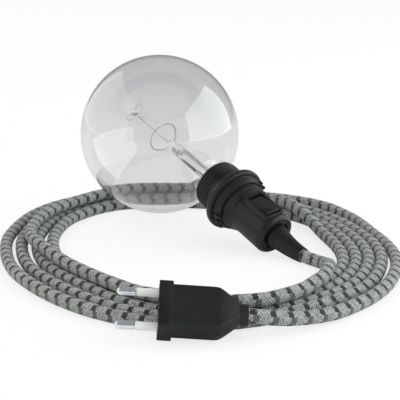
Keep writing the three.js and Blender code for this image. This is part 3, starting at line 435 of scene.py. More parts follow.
black_plastic = moulded("black_plastic", (0.0085, 0.0085, 0.008), 0.36, 0.00003, 0.35)
shell = turned(rounded([
    (SHELL_BORE_RADIUS, SHELL_MOUTH, 0.3),
    (SHELL_ROOT_RADIUS, SHELL_MOUTH, 0.3),
    (SHELL_ROOT_RADIUS, SHELL_THREAD_END - 0.3, 0.2),
    (SHELL_RADIUS, SHELL_THREAD_END, 0.2),
    (SHELL_RADIUS, SHELL_END, 0.3),
    (SPIGOT_RADIUS, SHELL_END),
    (SPIGOT_RADIUS, SPIGOT_END, 0.2),
    (SPIGOT_BORE_RADIUS, SPIGOT_END, 0.2),
    (SPIGOT_BORE_RADIUS, SHELL_END - SHELL_FLOOR),
    (SHELL_BORE_RADIUS, SHELL_END - SHELL_FLOOR),
]), 120)
thread_start = SHELL_MOUTH + 0.55
ridge_root = SHELL_ROOT_RADIUS - 0.2
ridge = [
    shell.verts.new((ridge_root, 0.0, thread_start)),
    shell.verts.new((SHELL_RADIUS, 0.0, thread_start + 0.5)),
    shell.verts.new((SHELL_RADIUS, 0.0, thread_start + 0.95)),
    shell.verts.new((ridge_root, 0.0, thread_start + 1.4)),
]
ridge_start = shell.faces.new(ridge)
bmesh.ops.spin(
    shell, geom=[ridge_start], cent=(0, 0, 0), axis=(0, 0, 1), dvec=(0, 0, THREAD_PITCH / THREAD_STEPS),
    angle=math.tau * THREAD_TURNS, steps=round(THREAD_TURNS * THREAD_STEPS), use_duplicate=False,
)
threaded_shell = made("threaded_shell", shell, LAMP)
fitted(threaded_shell, black_plastic, "black_plastic", "cord_set", "front_shell")


# Ring nut: it runs on the shell's thread and clamps a shade against the flange.
# A groove parts the rounded flange from the tapered collar, which has two groups of grip ribs.
NUT_BORE_RADIUS = 14.7
NUT_FRONT = 71.8
NUT_REAR = 81.0
NUT_FLANGE_RADIUS = 18.8
RIB_HEADING = 110.0
RIB_PITCH = 16.0
RIB_LENGTH = 3.1
RIB_WIDTH = 1.4
RIB_HEIGHT = 2.6
RIB_PLACE = (16.2, 0.0, 79.25)


def block(maker, length, width, height, place):
    """Adds a box of a length along Z, a width along Y and a height along X, and returns its vertices."""
    sizes = Matrix.Diagonal((height, width, length, 1.0))
    return bmesh.ops.create_cube(maker, size=1.0, matrix=place @ sizes)["verts"]


def edges_between(verts):
    return list({edge for vertex in verts for edge in vertex.link_edges})


def softened(maker, edges, radius, segments=3):
    bmesh.ops.bevel(
        maker, geom=edges, offset=radius, offset_type="OFFSET", affect="EDGES", segments=segments,
        profile=0.5, material=-1, clamp_overlap=True,
    )


nut = turned(rounded([
    (NUT_BORE_RADIUS, NUT_FRONT, 0.2),
    (NUT_FLANGE_RADIUS, NUT_FRONT, 1.5),
    (NUT_FLANGE_RADIUS, 75.55, 1.4),
    (16.1, 75.9, 0.6),
    (15.8, 77.3, 0.5),
    (16.9, 77.65, 0.4),
    (15.6, NUT_REAR - 0.1, 0.35),
    (NUT_BORE_RADIUS, NUT_REAR, 0.15),
]), 128)
for heading in (RIB_HEADING, RIB_HEADING + 180.0):
    for turn in (-RIB_PITCH, 0.0, RIB_PITCH):
        place = Matrix.Rotation(math.radians(heading + turn), 4, "Z") @ Matrix.Translation(RIB_PLACE)
        softened(nut, edges_between(block(nut, RIB_LENGTH, RIB_WIDTH, RIB_HEIGHT, place)), 0.4)
grip_nut = made("grip_nut", nut, LAMP)
fitted(grip_nut, black_plastic, "black_plastic", "ring_nut", "ring_nut")


# Rear housing: the half that holds the switch, moulded with fine shoulder rings and a domed end.
# A raised frame grows out of its upper side, with a sharp pocket in which the rocker tilts.
ROCKER_STATION = 99.2
ROCKER_HEIGHT = 10.0
FRAME_STATION = 98.0
FRAME_LENGTH = 22.8
FRAME_WIDTH = 13.0
FRAME_HEIGHT = 13.3
FRAME_CORNER = 3.0
FRAME_ROOT = 7.4
POCKET_LENGTH = 17.8
POCKET_WIDTH = 9.2
POCKET_FLOOR = 5.4
POCKET_CUT = 10.0
HOUSING_END = 112.0


def combined(piece, tool, operation):
    """Joins a tool's shape to a piece, or cuts it away, and removes the tool."""
    step = piece.modifiers.new("combine", "BOOLEAN")
    step.operation = operation
    step.object = tool
    step.solver = "EXACT"
    bpy.context.view_layer.update()
    mesh = bpy.data.meshes.new_from_object(piece.evaluated_get(bpy.context.evaluated_depsgraph_get()))
    piece.modifiers.clear()
    piece.data = mesh
    bpy.data.objects.remove(tool)
    mesh.set_sharp_from_angle(angle=math.radians(32.0))


def uprights_of(corners):
    """The edges of a block that run along X."""
    return [edge for edge in edges_between(corners) if abs((edge.verts[0].co - edge.verts[1].co).x) > 1.0]


housing = turned([
    *rounded([
        (12.1, 82.0, 0.2),
        (14.35, 82.0, 0.35),
        (14.35, 83.3, 0.3),
        (13.95, 83.45, 0.1),
        (13.95, 84.7, 0.3),
        (13.45, 84.85, 0.1),
        (13.4, 86.0, 0.4),
        (12.55, 87.4, 2.0),
        (12.1, 91.0, 6.0),
        (12.2, HOUSING_END - 3.5),
    ]),
    *arc(8.8, HOUSING_END - 3.4, 3.4, 4.0, 86.0, 10),
    (8.3, HOUSING_END - 0.1),
    (8.3, 110.4),
    (5.3, 110.4),
    (5.3, 109.0),
    (9.75, 109.0),
    (10.3, 91.0),
    (10.3, 86.6),
    (12.1, 86.6),
], 128)
switch_housing = made("switch_housing", housing, LAMP)

frame_block = bmesh.new()
height = FRAME_HEIGHT - FRAME_ROOT
place = Matrix.Translation((FRAME_ROOT + height / 2, 0.0, FRAME_STATION))
corners = block(frame_block, FRAME_LENGTH, FRAME_WIDTH, height, place)
softened(frame_block, uprights_of(corners), FRAME_CORNER, 8)
rim = [edge for edge in frame_block.edges if min(v.co.x for v in edge.verts) > FRAME_HEIGHT - 0.01]
softened(frame_block, rim, 0.8, 5)
combined(switch_housing, made("frame_block", frame_block, LAMP), "UNION")

pocket = bmesh.new()
place = Matrix.Translation((POCKET_FLOOR + POCKET_CUT / 2, 0.0, ROCKER_STATION))
corners = block(pocket, POCKET_LENGTH, POCKET_WIDTH, POCKET_CUT, place)
softened(pocket, uprights_of(corners), 0.6, 4)
combined(switch_housing, made("pocket", pocket, LAMP), "DIFFERENCE")

pin_hole = turned([(0.0, -5.9), (1.4, -5.9), (1.4, 5.9), (0.0, 5.9)], 32)
across = Matrix.Translation((ROCKER_HEIGHT, 0.0, ROCKER_STATION))
across = across @ Matrix.Rotation(math.radians(90.0), 4, "X")
combined(switch_housing, made("pin_hole", pin_hole, LAMP @ across), "DIFFERENCE")
fitted(switch_housing, black_plastic, "black_plastic", "cord_set", "rear_housing")


# Rocker: a moulded key that tilts on two pins, its cord end up.
# The long flat rises to a ridge, and a short grip with three ribs follows it.
ROCKER_HALF = 8.4
ROCKER_WIDTH = 8.6
ROCKER_FLAT = 3.6
ROCKER_GRIP = 3.1
ROCKER_RIDGE = 4.0
ROCKER_LOW = -1.6
ROCKER_TILT = 7.0
PIN_RADIUS = 1.1
PIN_REACH = 5.3


def end_arc(low, high, steps):
    """Part of the rocker's round end, between two heights over its pivot."""
    angles = [math.degrees(math.asin(height / ROCKER_HALF)) for height in (low, high)]
    return arc(0.0, 0.0, ROCKER_HALF, *angles, steps)


cord_end = end_arc(ROCKER_LOW, ROCKER_GRIP, 8)
nut_end = [(-along, height) for along, height in reversed(end_arc(ROCKER_LOW, ROCKER_FLAT, 8))]
outline = [*cord_end, (ROCKER_RIDGE, ROCKER_FLAT), *nut_end]
key = bmesh.new()
side = key.faces.new([key.verts.new((height, -ROCKER_WIDTH / 2, along)) for along, height in outline])
grown = bmesh.ops.extrude_face_region(key, geom=[side])["geom"]
far_side = [item for item in grown if isinstance(item, bmesh.types.BMVert)]
bmesh.ops.translate(key, verts=far_side, vec=(0.0, ROCKER_WIDTH, 0.0))
bmesh.ops.recalc_face_normals(key, faces=key.faces)
softened(key, [edge for edge in key.edges if edge.calc_face_angle(0.0) > math.radians(14.0)], 0.35)
fall = (ROCKER_FLAT - ROCKER_GRIP) / (ROCKER_HALF - ROCKER_RIDGE)
for rib in (0, 1, 2):
    along = 0.75 + 1.2 * rib
    place = Matrix.Translation((ROCKER_FLAT - along * fall - 0.1, 0.0, ROCKER_RIDGE + along))
    softened(key, edges_between(block(key, 0.55, ROCKER_WIDTH - 1.6, 0.9, place)), 0.18)
pins = turned([(0.0, -PIN_REACH), (PIN_RADIUS, -PIN_REACH), (PIN_RADIUS, PIN_REACH), (0.0, PIN_REACH)], 32)
pivot = LAMP @ Matrix.Translation((ROCKER_HEIGHT, 0.0, ROCKER_STATION))
switch_rocker = made("switch_rocker", key, pivot @ Matrix.Rotation(math.radians(ROCKER_TILT), 4, "Y"))
rocker_pins = made("rocker_pins", pins, pivot @ Matrix.Rotation(math.radians(90.0), 4, "X"))
combined(switch_rocker, rocker_pins, "UNION")
fitted(switch_rocker, black_plastic, "black_plastic", "rocker", "rocker")


# Parts inside the holder: the bulb's cap in its brass screw shell, on a white base with a spring contact.
# Clamp terminals, the switch's strips and the three wires follow, all as in the solids.
def dressed(finish, *nodes):
    for node in nodes:
        mesh = frame["nodes"][node].data
        mesh.materials.clear()
        mesh.materials.append(finish.material)


def rolled(name, colour, roughness):
    """Rolled or drawn metal with a faintly uneven gloss."""
    finish = Finish(name, {"Metallic": 1.0})
    cloud = finish.noise(350.0, 3.0)
    duller = tuple(channel * 0.8 for channel in colour)
    tone = finish.mixed(cloud.ramp(0.4, 0.8), (*colour, 1.0), (*duller, 1.0))
    finish.fill(finish.surface, {"Base Color": tone, "Roughness": cloud * 0.14 + (roughness - 0.07)})
    finish.bumped(finish.noise(1500.0, 2.0), 0.00001)
    return finish


nickel = rolled("nickel", (0.78, 0.81, 0.84), 0.14)
brass = rolled("brass", (0.62, 0.45, 0.18), 0.28)
soft_black = moulded("soft_black", (0.007, 0.0072, 0.0072), 0.46, 0.00004, 0.3)
dressed(nickel, "bulb_cap", "cap_contact", "live_terminal_screw", "neutral_terminal_screw", "cord_grip")
dressed(brass, "screw_shell", "centre_contact", "live_terminal", "neutral_terminal")
dressed(brass, "contact_bridge", "fixed_contact_live", "fixed_contact_lamp")
dressed(soft_black, "cap_insulator")
dressed(moulded("socket_white", (0.62, 0.6, 0.54), 0.45, 0.00002, 0.5), "contact_base")
dressed(moulded("wire_brown", (0.14, 0.05, 0.018), 0.45, 0.00002, 0.5), "live_wire", "switched_wire")
dressed(moulded("wire_blue", (0.03, 0.1, 0.32), 0.45, 0.00002, 0.5), "neutral_wire")


# Boot: a tapered sleeve of soft black plastic that keeps the cord from kinking where it leaves the holder.
# It is held behind the end wall by its flange, and is bent up a little where the holder leans on the table.
BOOT_START = 106.3
BOOT_FLANGE = 2.4
BOOT_SHOULDER = 115.9
BOOT_BEND_START = 118.0
BOOT_TIP = 134.0
BOOT_BEND = 12.5
BOOT_BEND_HEADING = -12.3
BOOT_BORE_RADIUS = 3.7

boot_profile = [
    (7.0, BOOT_START),
    (7.0, BOOT_START + BOOT_FLANGE),
    (5.0, BOOT_START + BOOT_FLANGE),
    (5.0, 110.75),
    (6.6, 110.7),
    (6.8, 110.9),
    (6.75, BOOT_SHOULDER - 0.5),
    (6.6, BOOT_SHOULDER - 0.12),
    (6.25, BOOT_SHOULDER),
]
for step in range(1, 15):
    share = step / 14
    station = BOOT_SHOULDER + (BOOT_TIP - BOOT_SHOULDER) * share
    boot_profile.append((6.2 + (4.1 - 6.2) * share**0.9, station))
boot_profile += [(3.95, BOOT_TIP)]
boot_bore = (BOOT_TIP - 0.1, 130.0, 126.0, 122.0, 118.0, BOOT_START)
boot_profile += [(BOOT_BORE_RADIUS, station) for station in boot_bore]
boot = turned(boot_profile, 64)
bend = math.radians(BOOT_BEND)
bend_radius = (BOOT_TIP - BOOT_BEND_START) / bend
up = ring_point(BOOT_BEND_HEADING, 1.0, 0.0)
for vertex in boot.verts:
    beyond = vertex.co.z - BOOT_BEND_START
    if beyond > 0:
        swing = bend * beyond / (BOOT_TIP - BOOT_BEND_START)
        offset = Vector((vertex.co.x, vertex.co.y, 0.0))
        leaning = up * math.sin(swing) + Vector((0.0, 0.0, math.cos(swing)))
        turn = Vector((0.0, 0.0, 1.0)).rotation_difference(leaning)
        vertex.co = turn @ offset + up * bend_radius * (1 - math.cos(swing))
        vertex.co.z += BOOT_BEND_START + bend_radius * math.sin(swing)
outlet_boot = made("outlet_boot", boot, LAMP)
fitted(outlet_boot, soft_black, "soft_black", "cord_set", "strain_relief_boot")


# Cord: one textile cord, 3.4 m long, from the boot round five loose turns to the plug.
# Its grey braid has rings of dark and half-dark picks, and it lies on the table and on itself.
CORD_DIAMETER = 6.8
GROUND_HEIGHT = 3.45
STRAND_STEP = 7.1
RING_SPACING = 1.6
CORD_SIDES = 16
LAMP_EXIT = Vector((61.787, -70.897, 4.014))
LAMP_EXIT_WAY = Vector((0.6258, -0.7645, -0.1547))
PLUG_EXIT = Vector((28.126, -185.044, 9.701))
PLUG_EXIT_WAY = Vector((0.99569, 0.04347, -0.08194))
EXIT_RUN = 3.0
LAMP_LEAD = [
    (66.7, -77.2, 3.5),
    (69.8, -82.3, 3.8),
    (72.0, -88.0, 4.7),
    (73.0, -94.3, 6.1),
    (73.0, -100.8, 7.8),
    (72.2, -107.7, 9.3),
    (70.8, -115.0, 10.1),
]
PLUG_LEAD = [
    (38.5, 62.6, 3.45),
    (50.0, 60.2, 3.45),
    (62.0, 54.5, 3.45),
    (75.0, 45.5, 3.45),
    (85.5, 34.0, 3.45),
    (93.0, 19.0, 3.45),
    (99.5, 0.6, 3.45),
    (105.0, -25.0, 3.45),
    (109.6, -48.0, 3.45),
    (111.2, -71.0, 3.45),
    (108.3, -94.0, 3.45),
    (101.0, -118.0, 3.45),
    (92.5, -135.5, 3.45),
    (83.1, -149.0, 3.5),
    (70.5, -163.0, 3.7),
    (58.0, -173.0, 4.8),
    (46.0, -180.0, 6.4),
    (38.5, -183.2, 7.9),
]
# The coil in plan: inner strand, outer strand, and where across the coil the strand on top lies
COIL_STATIONS = [
    ((4.0, -156.5), (0.0, -180.6), 0.35),
    ((-21.5, -145.5), (-36.0, -166.0), 0.17),
    ((-44.0, -117.0), (-65.8, -137.1), 0.17),
    ((-64.0, -88.0), (-88.6, -98.6), 0.2),
    ((-74.0, -54.0), (-99.4, -57.3), 0.45),
    ((-75.5, -20.0), (-100.5, -20.0), 0.45),
    ((-68.0, 13.0), (-90.0, 25.0), 0.25),
    ((-47.0, 40.0), (-62.0, 57.0), 0.25),
    ((-17.0, 47.2), (-17.0, 68.2), 0.5),
    ((22.0, 42.5), (26.0, 63.2), 0.4),
    ((52.0, 23.0), (64.0, 40.4), 0.2),
    ((71.0, -8.0), (86.3, 6.3), 0.0),
    ((79.3, -37.5), (99.7, -33.0), 0.0),
    ((82.9, -66.0), (103.8, -62.0), 0.0),
    ((80.6, -91.0), (101.3, -87.5), 0.0),
    ((71.5, -114.0), (91.6, -119.0), 0.0),
    ((57.0, -132.5), (75.5, -142.0), 0.35),
    ((31.5, -151.0), (42.0, -168.0), 0.72),
]
GROUND_STRANDS = 4
TOP_START = 15.4
LANDING = 9.0
LANDED = 11.5
POINTS_PER_STATION = 3


def between(a, b, c, d, t):
    """A point from b to c on the smooth curve through four points."""
    return 0.5 * (
        2 * b + (c - a) * t + (2 * a - 5 * b + 4 * c - d) * t**2 + (3 * b - a - 3 * c + d) * t**3
    )


def round_the_coil(values, place):
    """A value at a place on the closed round of stations."""
    i = math.floor(place)
    return between(*(values[(i + k) % len(values)] for k in (-1, 0, 1, 2)), place - i)


inner_strand = [Vector((*inner, GROUND_HEIGHT)) for inner, outer, top in COIL_STATIONS]
outer_strand = [Vector((*outer, GROUND_HEIGHT)) for inner, outer, top in COIL_STATIONS]
top_share = [top for inner, outer, top in COIL_STATIONS]


def ground_share(turn, place):
    """Where across the coil a strand on the table lies: each turn ends one strand further out."""
    return (turn - 1 + ease((place - LANDING) / (LANDED - LANDING))) / (GROUND_STRANDS - 1)


def coil_point(place, share, below):
    """A point of the coil, resting on the strands at the shares below it."""
    inner = round_the_coil(inner_strand, place)
    outer = round_the_coil(outer_strand, place)
    point = inner.lerp(outer, share)
    for other in below:
        apart = abs(other - share) * (outer - inner).length
        if apart < STRAND_STEP:
            point.z = max(point.z, GROUND_HEIGHT + math.sqrt(STRAND_STEP**2 - apart**2))
    return point


def coil_turns():
    """The turns' centre line: the first turn lies on top, then each lies on the table outside the last."""
    count = len(COIL_STATIONS)
    end = count * (GROUND_STRANDS + 1) + LANDING
    steps = round((end - TOP_START) * POINTS_PER_STATION)
    points = []
    for step in range(steps + 1):
        way = TOP_START + (end - TOP_START) * step / steps
        lap = math.floor(way / count)
        place = way - lap * count
        if lap == 0 or (lap == 1 and place < LANDED):
            ground = [ground_share(turn, place if lap else 0.0) for turn in range(1, GROUND_STRANDS + 1)]
            points.append(coil_point(place, round_the_coil(top_share, place), ground))
        else:
            points.append(coil_point(place, ground_share(lap - 1, place), []))
    return points


def evenly_spaced(points, spacing):
    """An even line of points on a smooth curve through the points."""
    ends = [points[0] * 2 - points[1], *points, points[-1] * 2 - points[-2]]
    fine = [between(*ends[i:i + 4], k / 10) for i in range(len(ends) - 3) for k in range(10)]
    fine.append(points[-1])
    even = [fine[0]]
    left = spacing
    for here, ahead in zip(fine, fine[1:]):
        span = (ahead - here).length
        while span > 0 and left <= span:
            even.append(here.lerp(ahead, left / span))
            left += spacing
        left -= span
    if (even[-1] - fine[-1]).length < spacing / 2:
        even.pop()
    return [*even, fine[-1]]


route = [LAMP_EXIT, LAMP_EXIT + LAMP_EXIT_WAY * EXIT_RUN]
route += [Vector(point) for point in LAMP_LEAD]
route += coil_turns()
route += [Vector(point) for point in PLUG_LEAD]
route += [PLUG_EXIT + PLUG_EXIT_WAY * EXIT_RUN, PLUG_EXIT]
route = evenly_spaced(route, RING_SPACING)
cord_length = sum((ahead - here).length for here, ahead in zip(route, route[1:])) * MM


def braided_tube(points, radius, sides):
    """A round tube. Its UV map holds the metres along the cord and the share round it."""
    maker = bmesh.new()
    cord_map = maker.loops.layers.uv.new("cord")
    side = (points[1] - points[0]).cross(Vector((0.0, 0.0, 1.0))).normalized()
    distance = 0.0
    rings = []
    for i, point in enumerate(points):
        ahead = points[min(i + 1, len(points) - 1)]
        behind = points[max(i - 1, 0)]
        way = (ahead - behind).normalized()
        side = (side - way * side.dot(way)).normalized()
        distance += (point - behind).length * MM
        turn = Matrix((side, side.cross(way), way)).transposed()
        places = [point + turn @ ring_point(360.0 * k / sides, radius, 0.0) for k in range(sides)]
        rings.append((distance, [maker.verts.new(corner) for corner in places]))
    for (near, here), (far, ahead) in zip(rings, rings[1:]):
        for k in range(sides):
            following = (k + 1) % sides
            face = maker.faces.new((here[k], here[following], ahead[following], ahead[k]))
            places = ((near, k), (near, k + 1), (far, k + 1), (far, k))
            for loop, (along, step) in zip(face.loops, places):
                loop[cord_map].uv = (along, step / sides)
    maker.faces.new(rings[0][1][::-1])
    maker.faces.new(rings[-1][1])
    return maker


MARK_PITCH = 8.8 * MM
MARK_LENGTH = 2.7 * MM
MARK_STAGGER = 1.3 * MM
MARK_CELLS = 6
MARK_EDGE = 0.2 * MM
MARK_WANDER = 0.3 * MM
MARK_RAGGED = 0.9 * MM
YARN_PITCH = 1.4 * MM
YARN_COUNT = 20

braid = Finish("grey_braid", {"Sheen Weight": 0.15, "Sheen Roughness": 0.5})
cord_place = braid.node("ShaderNodeUVMap", {"uv_map": "cord"}, {})
along = braid.node("ShaderNodeSeparateXYZ", {}, {0: cord_place}, "X")
around = braid.node("ShaderNodeSeparateXYZ", {}, {0: cord_place}, "Y")
cell = around * MARK_CELLS + 0.25
odd = (cell.math("FLOOR") * 0.5).math("FRACT") * 2.0
drift = along * (1 / (MARK_PITCH * 7.3))
wander = drift.math("SINE") * MARK_WANDER
yarn_cloud = braid.noise(900.0, 3.0)
ragged = (yarn_cloud - 0.5) * MARK_RAGGED
inside = ((along + odd * MARK_STAGGER + wander + ragged) / MARK_PITCH).math("FRACT") * MARK_PITCH
mark = inside.ramp(0.0, MARK_EDGE) - inside.ramp(MARK_LENGTH, MARK_LENGTH + MARK_EDGE)
zig = (along / YARN_PITCH + around * (YARN_COUNT / 2)).math("FRACT") - 0.5
zag = (along / YARN_PITCH - around * (YARN_COUNT / 2)).math("FRACT") - 0.5
zigzag = zig.math("ABSOLUTE").math("MAXIMUM", zag.math("ABSOLUTE"))
strands = zigzag.ramp(0.2, 0.5)
yarn_grain = yarn_cloud.ramp(0.35, 0.65)
# Painted shade: the yarn colour is darkest in the pits between the crossing yarns, where the bump sinks.
# The other half of its tone is random yarn grain.
pit_shade_and_yarn_tone = strands * 0.5 + yarn_grain * 0.5
yarn_with_pit_shade = braid.mixed(pit_shade_and_yarn_tone, (0.12, 0.127, 0.118, 1.0), (0.55, 0.57, 0.54, 1.0))
pick = braid.mixed(odd, (0.011, 0.0135, 0.012, 1.0), (0.1, 0.107, 0.097, 1.0))
pick_yarn = braid.mixed(yarn_cloud.ramp(0.4, 0.8) * 0.25, pick, (0.12, 0.122, 0.112, 1.0))
braid.fill(braid.surface, {
    "Base Color": braid.mixed(mark * 0.96, yarn_with_pit_shade, pick_yarn),
    "Roughness": mark * -0.1 + 0.93,
    "Specular IOR Level": 0.25,
})
braid.bumped(strands + yarn_cloud * 0.6 + mark * 0.2, 0.0003)

tube = braided_tube(route, CORD_DIAMETER / 2, CORD_SIDES)
textile_cord = made("textile_cord", tube, Matrix.Scale(MM, 4), 60.0)
fitted(textile_cord, braid, "textile", "cord_set", "cord_coil", "lamp_lead", "plug_lead")
dressed(braid, "inner_cord")


# Plug: a flat two-pin plug moulded onto the cord in soft black plastic.
# A flange closes it at the face, its long edges are bevelled, and it tapers to a short neck.
PLUG_FACE = Vector((-12.1, -186.8, 13.0109)) * MM
PLUG_ROLL = 34.5
PLUG_BEVEL = 1.2
PLUG_CORNER = 0.6
PLUG_FLANGE = 6.4
PLUG_BODY_END = 26.3
PLUG_NECK_START = 36.8
PLUG_NECK_END = 40.4
PLUG_BODY_WIDTH = 24.2
PLUG_BODY_HEIGHT = 12.1
PLUG_NECK_WIDTH = 10.4
PLUG_NECK_HEIGHT = 9.4
FLANGE_WIDTH = 25.1
FLANGE_HEIGHT = 12.9
FLANGE_BEVEL = 0.05
PIN_PITCH = 18.6

plug_x = PLUG_EXIT_WAY.normalized()
sideways = Vector((0.0, 0.0, 1.0)).cross(plug_x).normalized()
plug_y = Matrix.Rotation(math.radians(PLUG_ROLL), 3, plug_x) @ sideways
PLUG = millimetres_in(plug_x, plug_y, plug_x.cross(plug_y), PLUG_FACE)


def plug_section(x, width, height, roundness, bevel=PLUG_BEVEL):
    """A section across the plug: a bevelled box that turns into an oval as it gets rounder."""
    a = width / 2
    b = height / 2
    quarter = [(a, b * 0.16, 0.4), (a - bevel, b - PLUG_CORNER, 0.5), (a - bevel - PLUG_CORNER, b, 0.6)]
    half = quarter + [(-y, z, radius) for y, z, radius in reversed(quarter)]
    section = rounded(half + [(-y, -z, radius) for y, z, radius in half], 4)
    points = []
    for y, z in section:
        angle = math.atan2(z / b, y / a)
        oval_y = a * math.cos(angle)
        oval_z = b * math.sin(angle)
        points.append(Vector((x, y + (oval_y - y) * roundness, z + (oval_z - z) * roundness)))
    return points


def grown_ring(maker, ring, places):
    """Extrudes a closed ring of vertices and moves the new ring to its places."""
    edges = [maker.edges.get(pair) for pair in zip(ring, ring[1:] + ring[:1])]
    grown = bmesh.ops.extrude_edge_only(maker, edges=edges)["geom"]
    fresh = {item for item in grown if isinstance(item, bmesh.types.BMVert)}
    ahead = [next(e.other_vert(v) for e in v.link_edges if e.other_vert(v) in fresh) for v in ring]
    for vertex, place in zip(ahead, places):
        vertex.co = place
    return ahead


sections = [
    (0.0, FLANGE_WIDTH - 0.6, FLANGE_HEIGHT - 0.6, 0.0, FLANGE_BEVEL),
    (0.1, FLANGE_WIDTH - 0.2, FLANGE_HEIGHT - 0.2, 0.0, FLANGE_BEVEL),
    (0.35, FLANGE_WIDTH, FLANGE_HEIGHT, 0.0, FLANGE_BEVEL),
    (PLUG_FLANGE - 0.35, FLANGE_WIDTH, FLANGE_HEIGHT, 0.0, FLANGE_BEVEL),
    (PLUG_FLANGE - 0.1, FLANGE_WIDTH - 0.2, FLANGE_HEIGHT - 0.2, 0.0, FLANGE_BEVEL),
    (PLUG_FLANGE, PLUG_BODY_WIDTH + 0.1, PLUG_BODY_HEIGHT + 0.1, 0.0),
    (PLUG_FLANGE + 0.3, PLUG_BODY_WIDTH, PLUG_BODY_HEIGHT, 0.0),
    (PLUG_BODY_END - 1.2, PLUG_BODY_WIDTH, PLUG_BODY_HEIGHT, 0.0),
    (PLUG_BODY_END, PLUG_BODY_WIDTH - 0.1, PLUG_BODY_HEIGHT - 0.05, 0.02),
]
for step in range(1, 15):
    share = step / 14
    fall = share**1.6 * (1.12 - 0.12 * share)
    x = PLUG_BODY_END + (PLUG_NECK_START - PLUG_BODY_END) * share
    width = PLUG_BODY_WIDTH - 0.1 + (PLUG_NECK_WIDTH - PLUG_BODY_WIDTH + 0.1) * fall
    height = PLUG_BODY_HEIGHT - 0.05 + (PLUG_NECK_HEIGHT - PLUG_BODY_HEIGHT + 0.05) * fall
    sections.append((x, width, height, share**1.4))
sections += [
    (PLUG_NECK_END - 0.4, PLUG_NECK_WIDTH, PLUG_NECK_HEIGHT, 1.0),
    (PLUG_NECK_END - 0.1, PLUG_NECK_WIDTH - 0.3, PLUG_NECK_HEIGHT - 0.3, 1.0),
    (PLUG_NECK_END, PLUG_NECK_WIDTH - 0.9, PLUG_NECK_HEIGHT - 0.9, 1.0),
]
plug = bmesh.new()
ring = [plug.verts.new(point) for point in plug_section(*sections[0])]
plug.faces.new(ring)
for section in sections[1:]:
    ring = grown_ring(plug, ring, plug_section(*section))
plug.faces.new(ring)
moulded_plug = made("moulded_plug", plug, PLUG)
for side in (-PIN_PITCH / 2, PIN_PITCH / 2):
    hole = turned([(0.0, -1.0), (2.2, -1.0), (2.2, 2.3), (1.6, 2.3), (1.6, 8.3), (0.0, 8.3)], 40)
    place = PLUG @ Matrix.Translation((0.0, side, 0.0)) @ Matrix.Rotation(math.radians(90.0), 4, "Y")
    combined(moulded_plug, made("pin_hole", hole, place), "DIFFERENCE")
fitted(moulded_plug, soft_black, "soft_black", "cord_set", "plug_body")
pieces_on_the_cord = [moulded_plug]


# Pins: two nickel-plated round pins with domed tips, held in the plug.
# A grey insulating sleeve covers each from the face to half its length.
# They complete the far end of the cord.
PIN_LENGTH = 19.0
PIN_RADIUS_OUTSIDE = 2.0
PIN_CORE_RADIUS = 1.3
PIN_ROOT = -8.0
SLEEVE_RADIUS = 1.9
SLEEVE_BORE_RADIUS = 1.6
SLEEVE_START = -2.0
SLEEVE_END = 10.0

sleeve_grey = moulded("sleeve_grey", (0.64, 0.66, 0.635), 0.42, 0.00002, 0.5)
for label, side in (("a", -PIN_PITCH / 2), ("b", PIN_PITCH / 2)):
    outward = PLUG @ Matrix.Translation((0.0, side, 0.0)) @ Matrix.Rotation(math.radians(-90.0), 4, "Y")
    pin_profile = [
        (0.0, PIN_ROOT),
        (PIN_CORE_RADIUS, PIN_ROOT),
        (PIN_CORE_RADIUS, SLEEVE_END + 0.25),
        (PIN_RADIUS_OUTSIDE - 0.15, SLEEVE_END + 0.3),
        (PIN_RADIUS_OUTSIDE, SLEEVE_END + 0.5),
    ]
    pin_profile += arc(0.0, PIN_LENGTH - PIN_RADIUS_OUTSIDE, PIN_RADIUS_OUTSIDE, 0.0, 80.0, 8)
    pin_profile.append((0.0, PIN_LENGTH))
    round_pin = made("round_pin_" + label, turned(pin_profile, 48), outward)
    fitted(round_pin, nickel, "nickel", "cord_set", "pin_" + label)
    sleeve_profile = rounded([
        (SLEEVE_BORE_RADIUS, SLEEVE_START),
        (SLEEVE_RADIUS, SLEEVE_START),
        (SLEEVE_RADIUS, SLEEVE_END, 0.15),
        (SLEEVE_BORE_RADIUS, SLEEVE_END, 0.1),
    ], 3)
    sleeve = made("insulating_sleeve_" + label, turned(sleeve_profile, 48), outward)
    fitted(sleeve, sleeve_grey, "sleeve_grey", "cord_set", "pin_sleeve_" + label)
    pieces_on_the_cord += [round_pin, sleeve]

[tuple(point * MM) for point in route]


# Studio: a pale table that shows as white, between a soft light panel on the right and one on the left.
# Glass and metal reflect the panels, and the room is dimmer in reflections than as light.
# Seen through the glass the table glows greyer, and more so further back: painted shade for the light
# falling off across the table.
TABLE_SHOWN = 0.75
TABLE_THROUGH_GLASS = 0.95
ROOM_LIGHT = 0.85
ROOM_REFLECTED = 0.36

floor_data = bpy.data.meshes.new("floor")
floor_maker = bmesh.new()
bmesh.ops.create_grid(floor_maker, x_segments=1, y_segments=1, size=6.0)
floor_maker.to_mesh(floor_data)
floor_maker.free()
floor = bpy.data.objects.new("floor", floor_data)
bpy.context.collection.objects.link(floor)

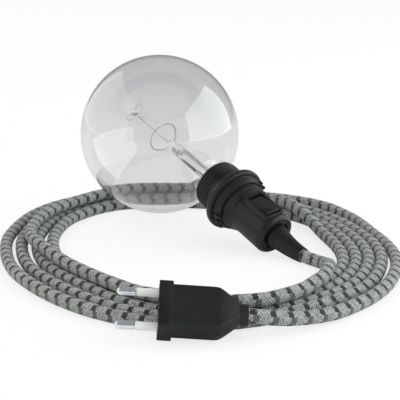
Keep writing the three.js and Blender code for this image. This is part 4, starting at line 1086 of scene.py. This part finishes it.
table = Finish("pale_table", {
    "Base Color": (0.88, 0.88, 0.88, 1.0),
    "Roughness": 0.9,
    "Specular IOR Level": 0.1,
})
camera_ray = table.node("ShaderNodeLightPath", {}, {}, "Is Camera Ray")
glass_ray = table.node("ShaderNodeLightPath", {}, {}, "Is Transmission Ray")
place = table.node("ShaderNodeTexCoord", {}, {}, "Object")
distance = table.node("ShaderNodeSeparateXYZ", {}, {0: place}, "Y")
further = distance.ramp(0.0, 0.8)
# Painted shade: through the glass the table glows grey, and darker further back, in place of light falling
# off across it.
painted_falloff_through_glass = table.mixed(further, (0.76, 0.765, 0.755, 1.0), (0.52, 0.525, 0.535, 1.0))
shown = table.mixed(glass_ray, (1.0, 1.0, 1.0, 1.0), painted_falloff_through_glass)
glow = table.node("ShaderNodeEmission", {}, {"Color": shown})
share = camera_ray * TABLE_SHOWN + glass_ray * TABLE_THROUGH_GLASS
lit = Signal(table, table.surface.outputs[0])
surface = table.node("ShaderNodeMixShader", {}, {0: share, 1: lit, 2: glow})
table.fill(table.tree.nodes["Material Output"], {"Surface": surface})
floor_data.materials.append(table.material)


def panel(name, place, size, watts, colour):
    """A soft rectangular light that faces the middle of the table."""
    data = bpy.data.lights.new(name, "AREA")
    data.shape = "RECTANGLE"
    data.size, data.size_y = size
    data.energy = watts
    data.color = colour
    light = bpy.data.objects.new(name, data)
    light.location = place
    aim = Vector((0.0, place[1], place[2])) - Vector(place)
    light.rotation_euler = aim.to_track_quat("-Z", "Y").to_euler()
    bpy.context.collection.objects.link(light)


panel("right_panel", (1.0, -0.1, 0.45), (1.85, 1.2), 14.0, (0.92, 1.0, 1.0))
panel("left_panel", (-1.2, 0.6, 0.75), (3.4, 1.7), 11.0, (1.0, 0.985, 0.94))
world = bpy.data.worlds.new("dim_room")
world.use_nodes = True
room = Nodes(world.node_tree)
camera_ray = room.node("ShaderNodeLightPath", {}, {}, "Is Camera Ray")
glossy_ray = room.node("ShaderNodeLightPath", {}, {}, "Is Glossy Ray")
level = glossy_ray * (ROOM_REFLECTED - ROOM_LIGHT) + ROOM_LIGHT
room.fill(room.tree.nodes["Background"], {
    "Color": (1.0, 1.0, 1.0, 1.0),
    "Strength": level.math("MAXIMUM", camera_ray),
})
bpy.context.scene.world = world
bpy.context.scene.view_settings.view_transform = "Standard"
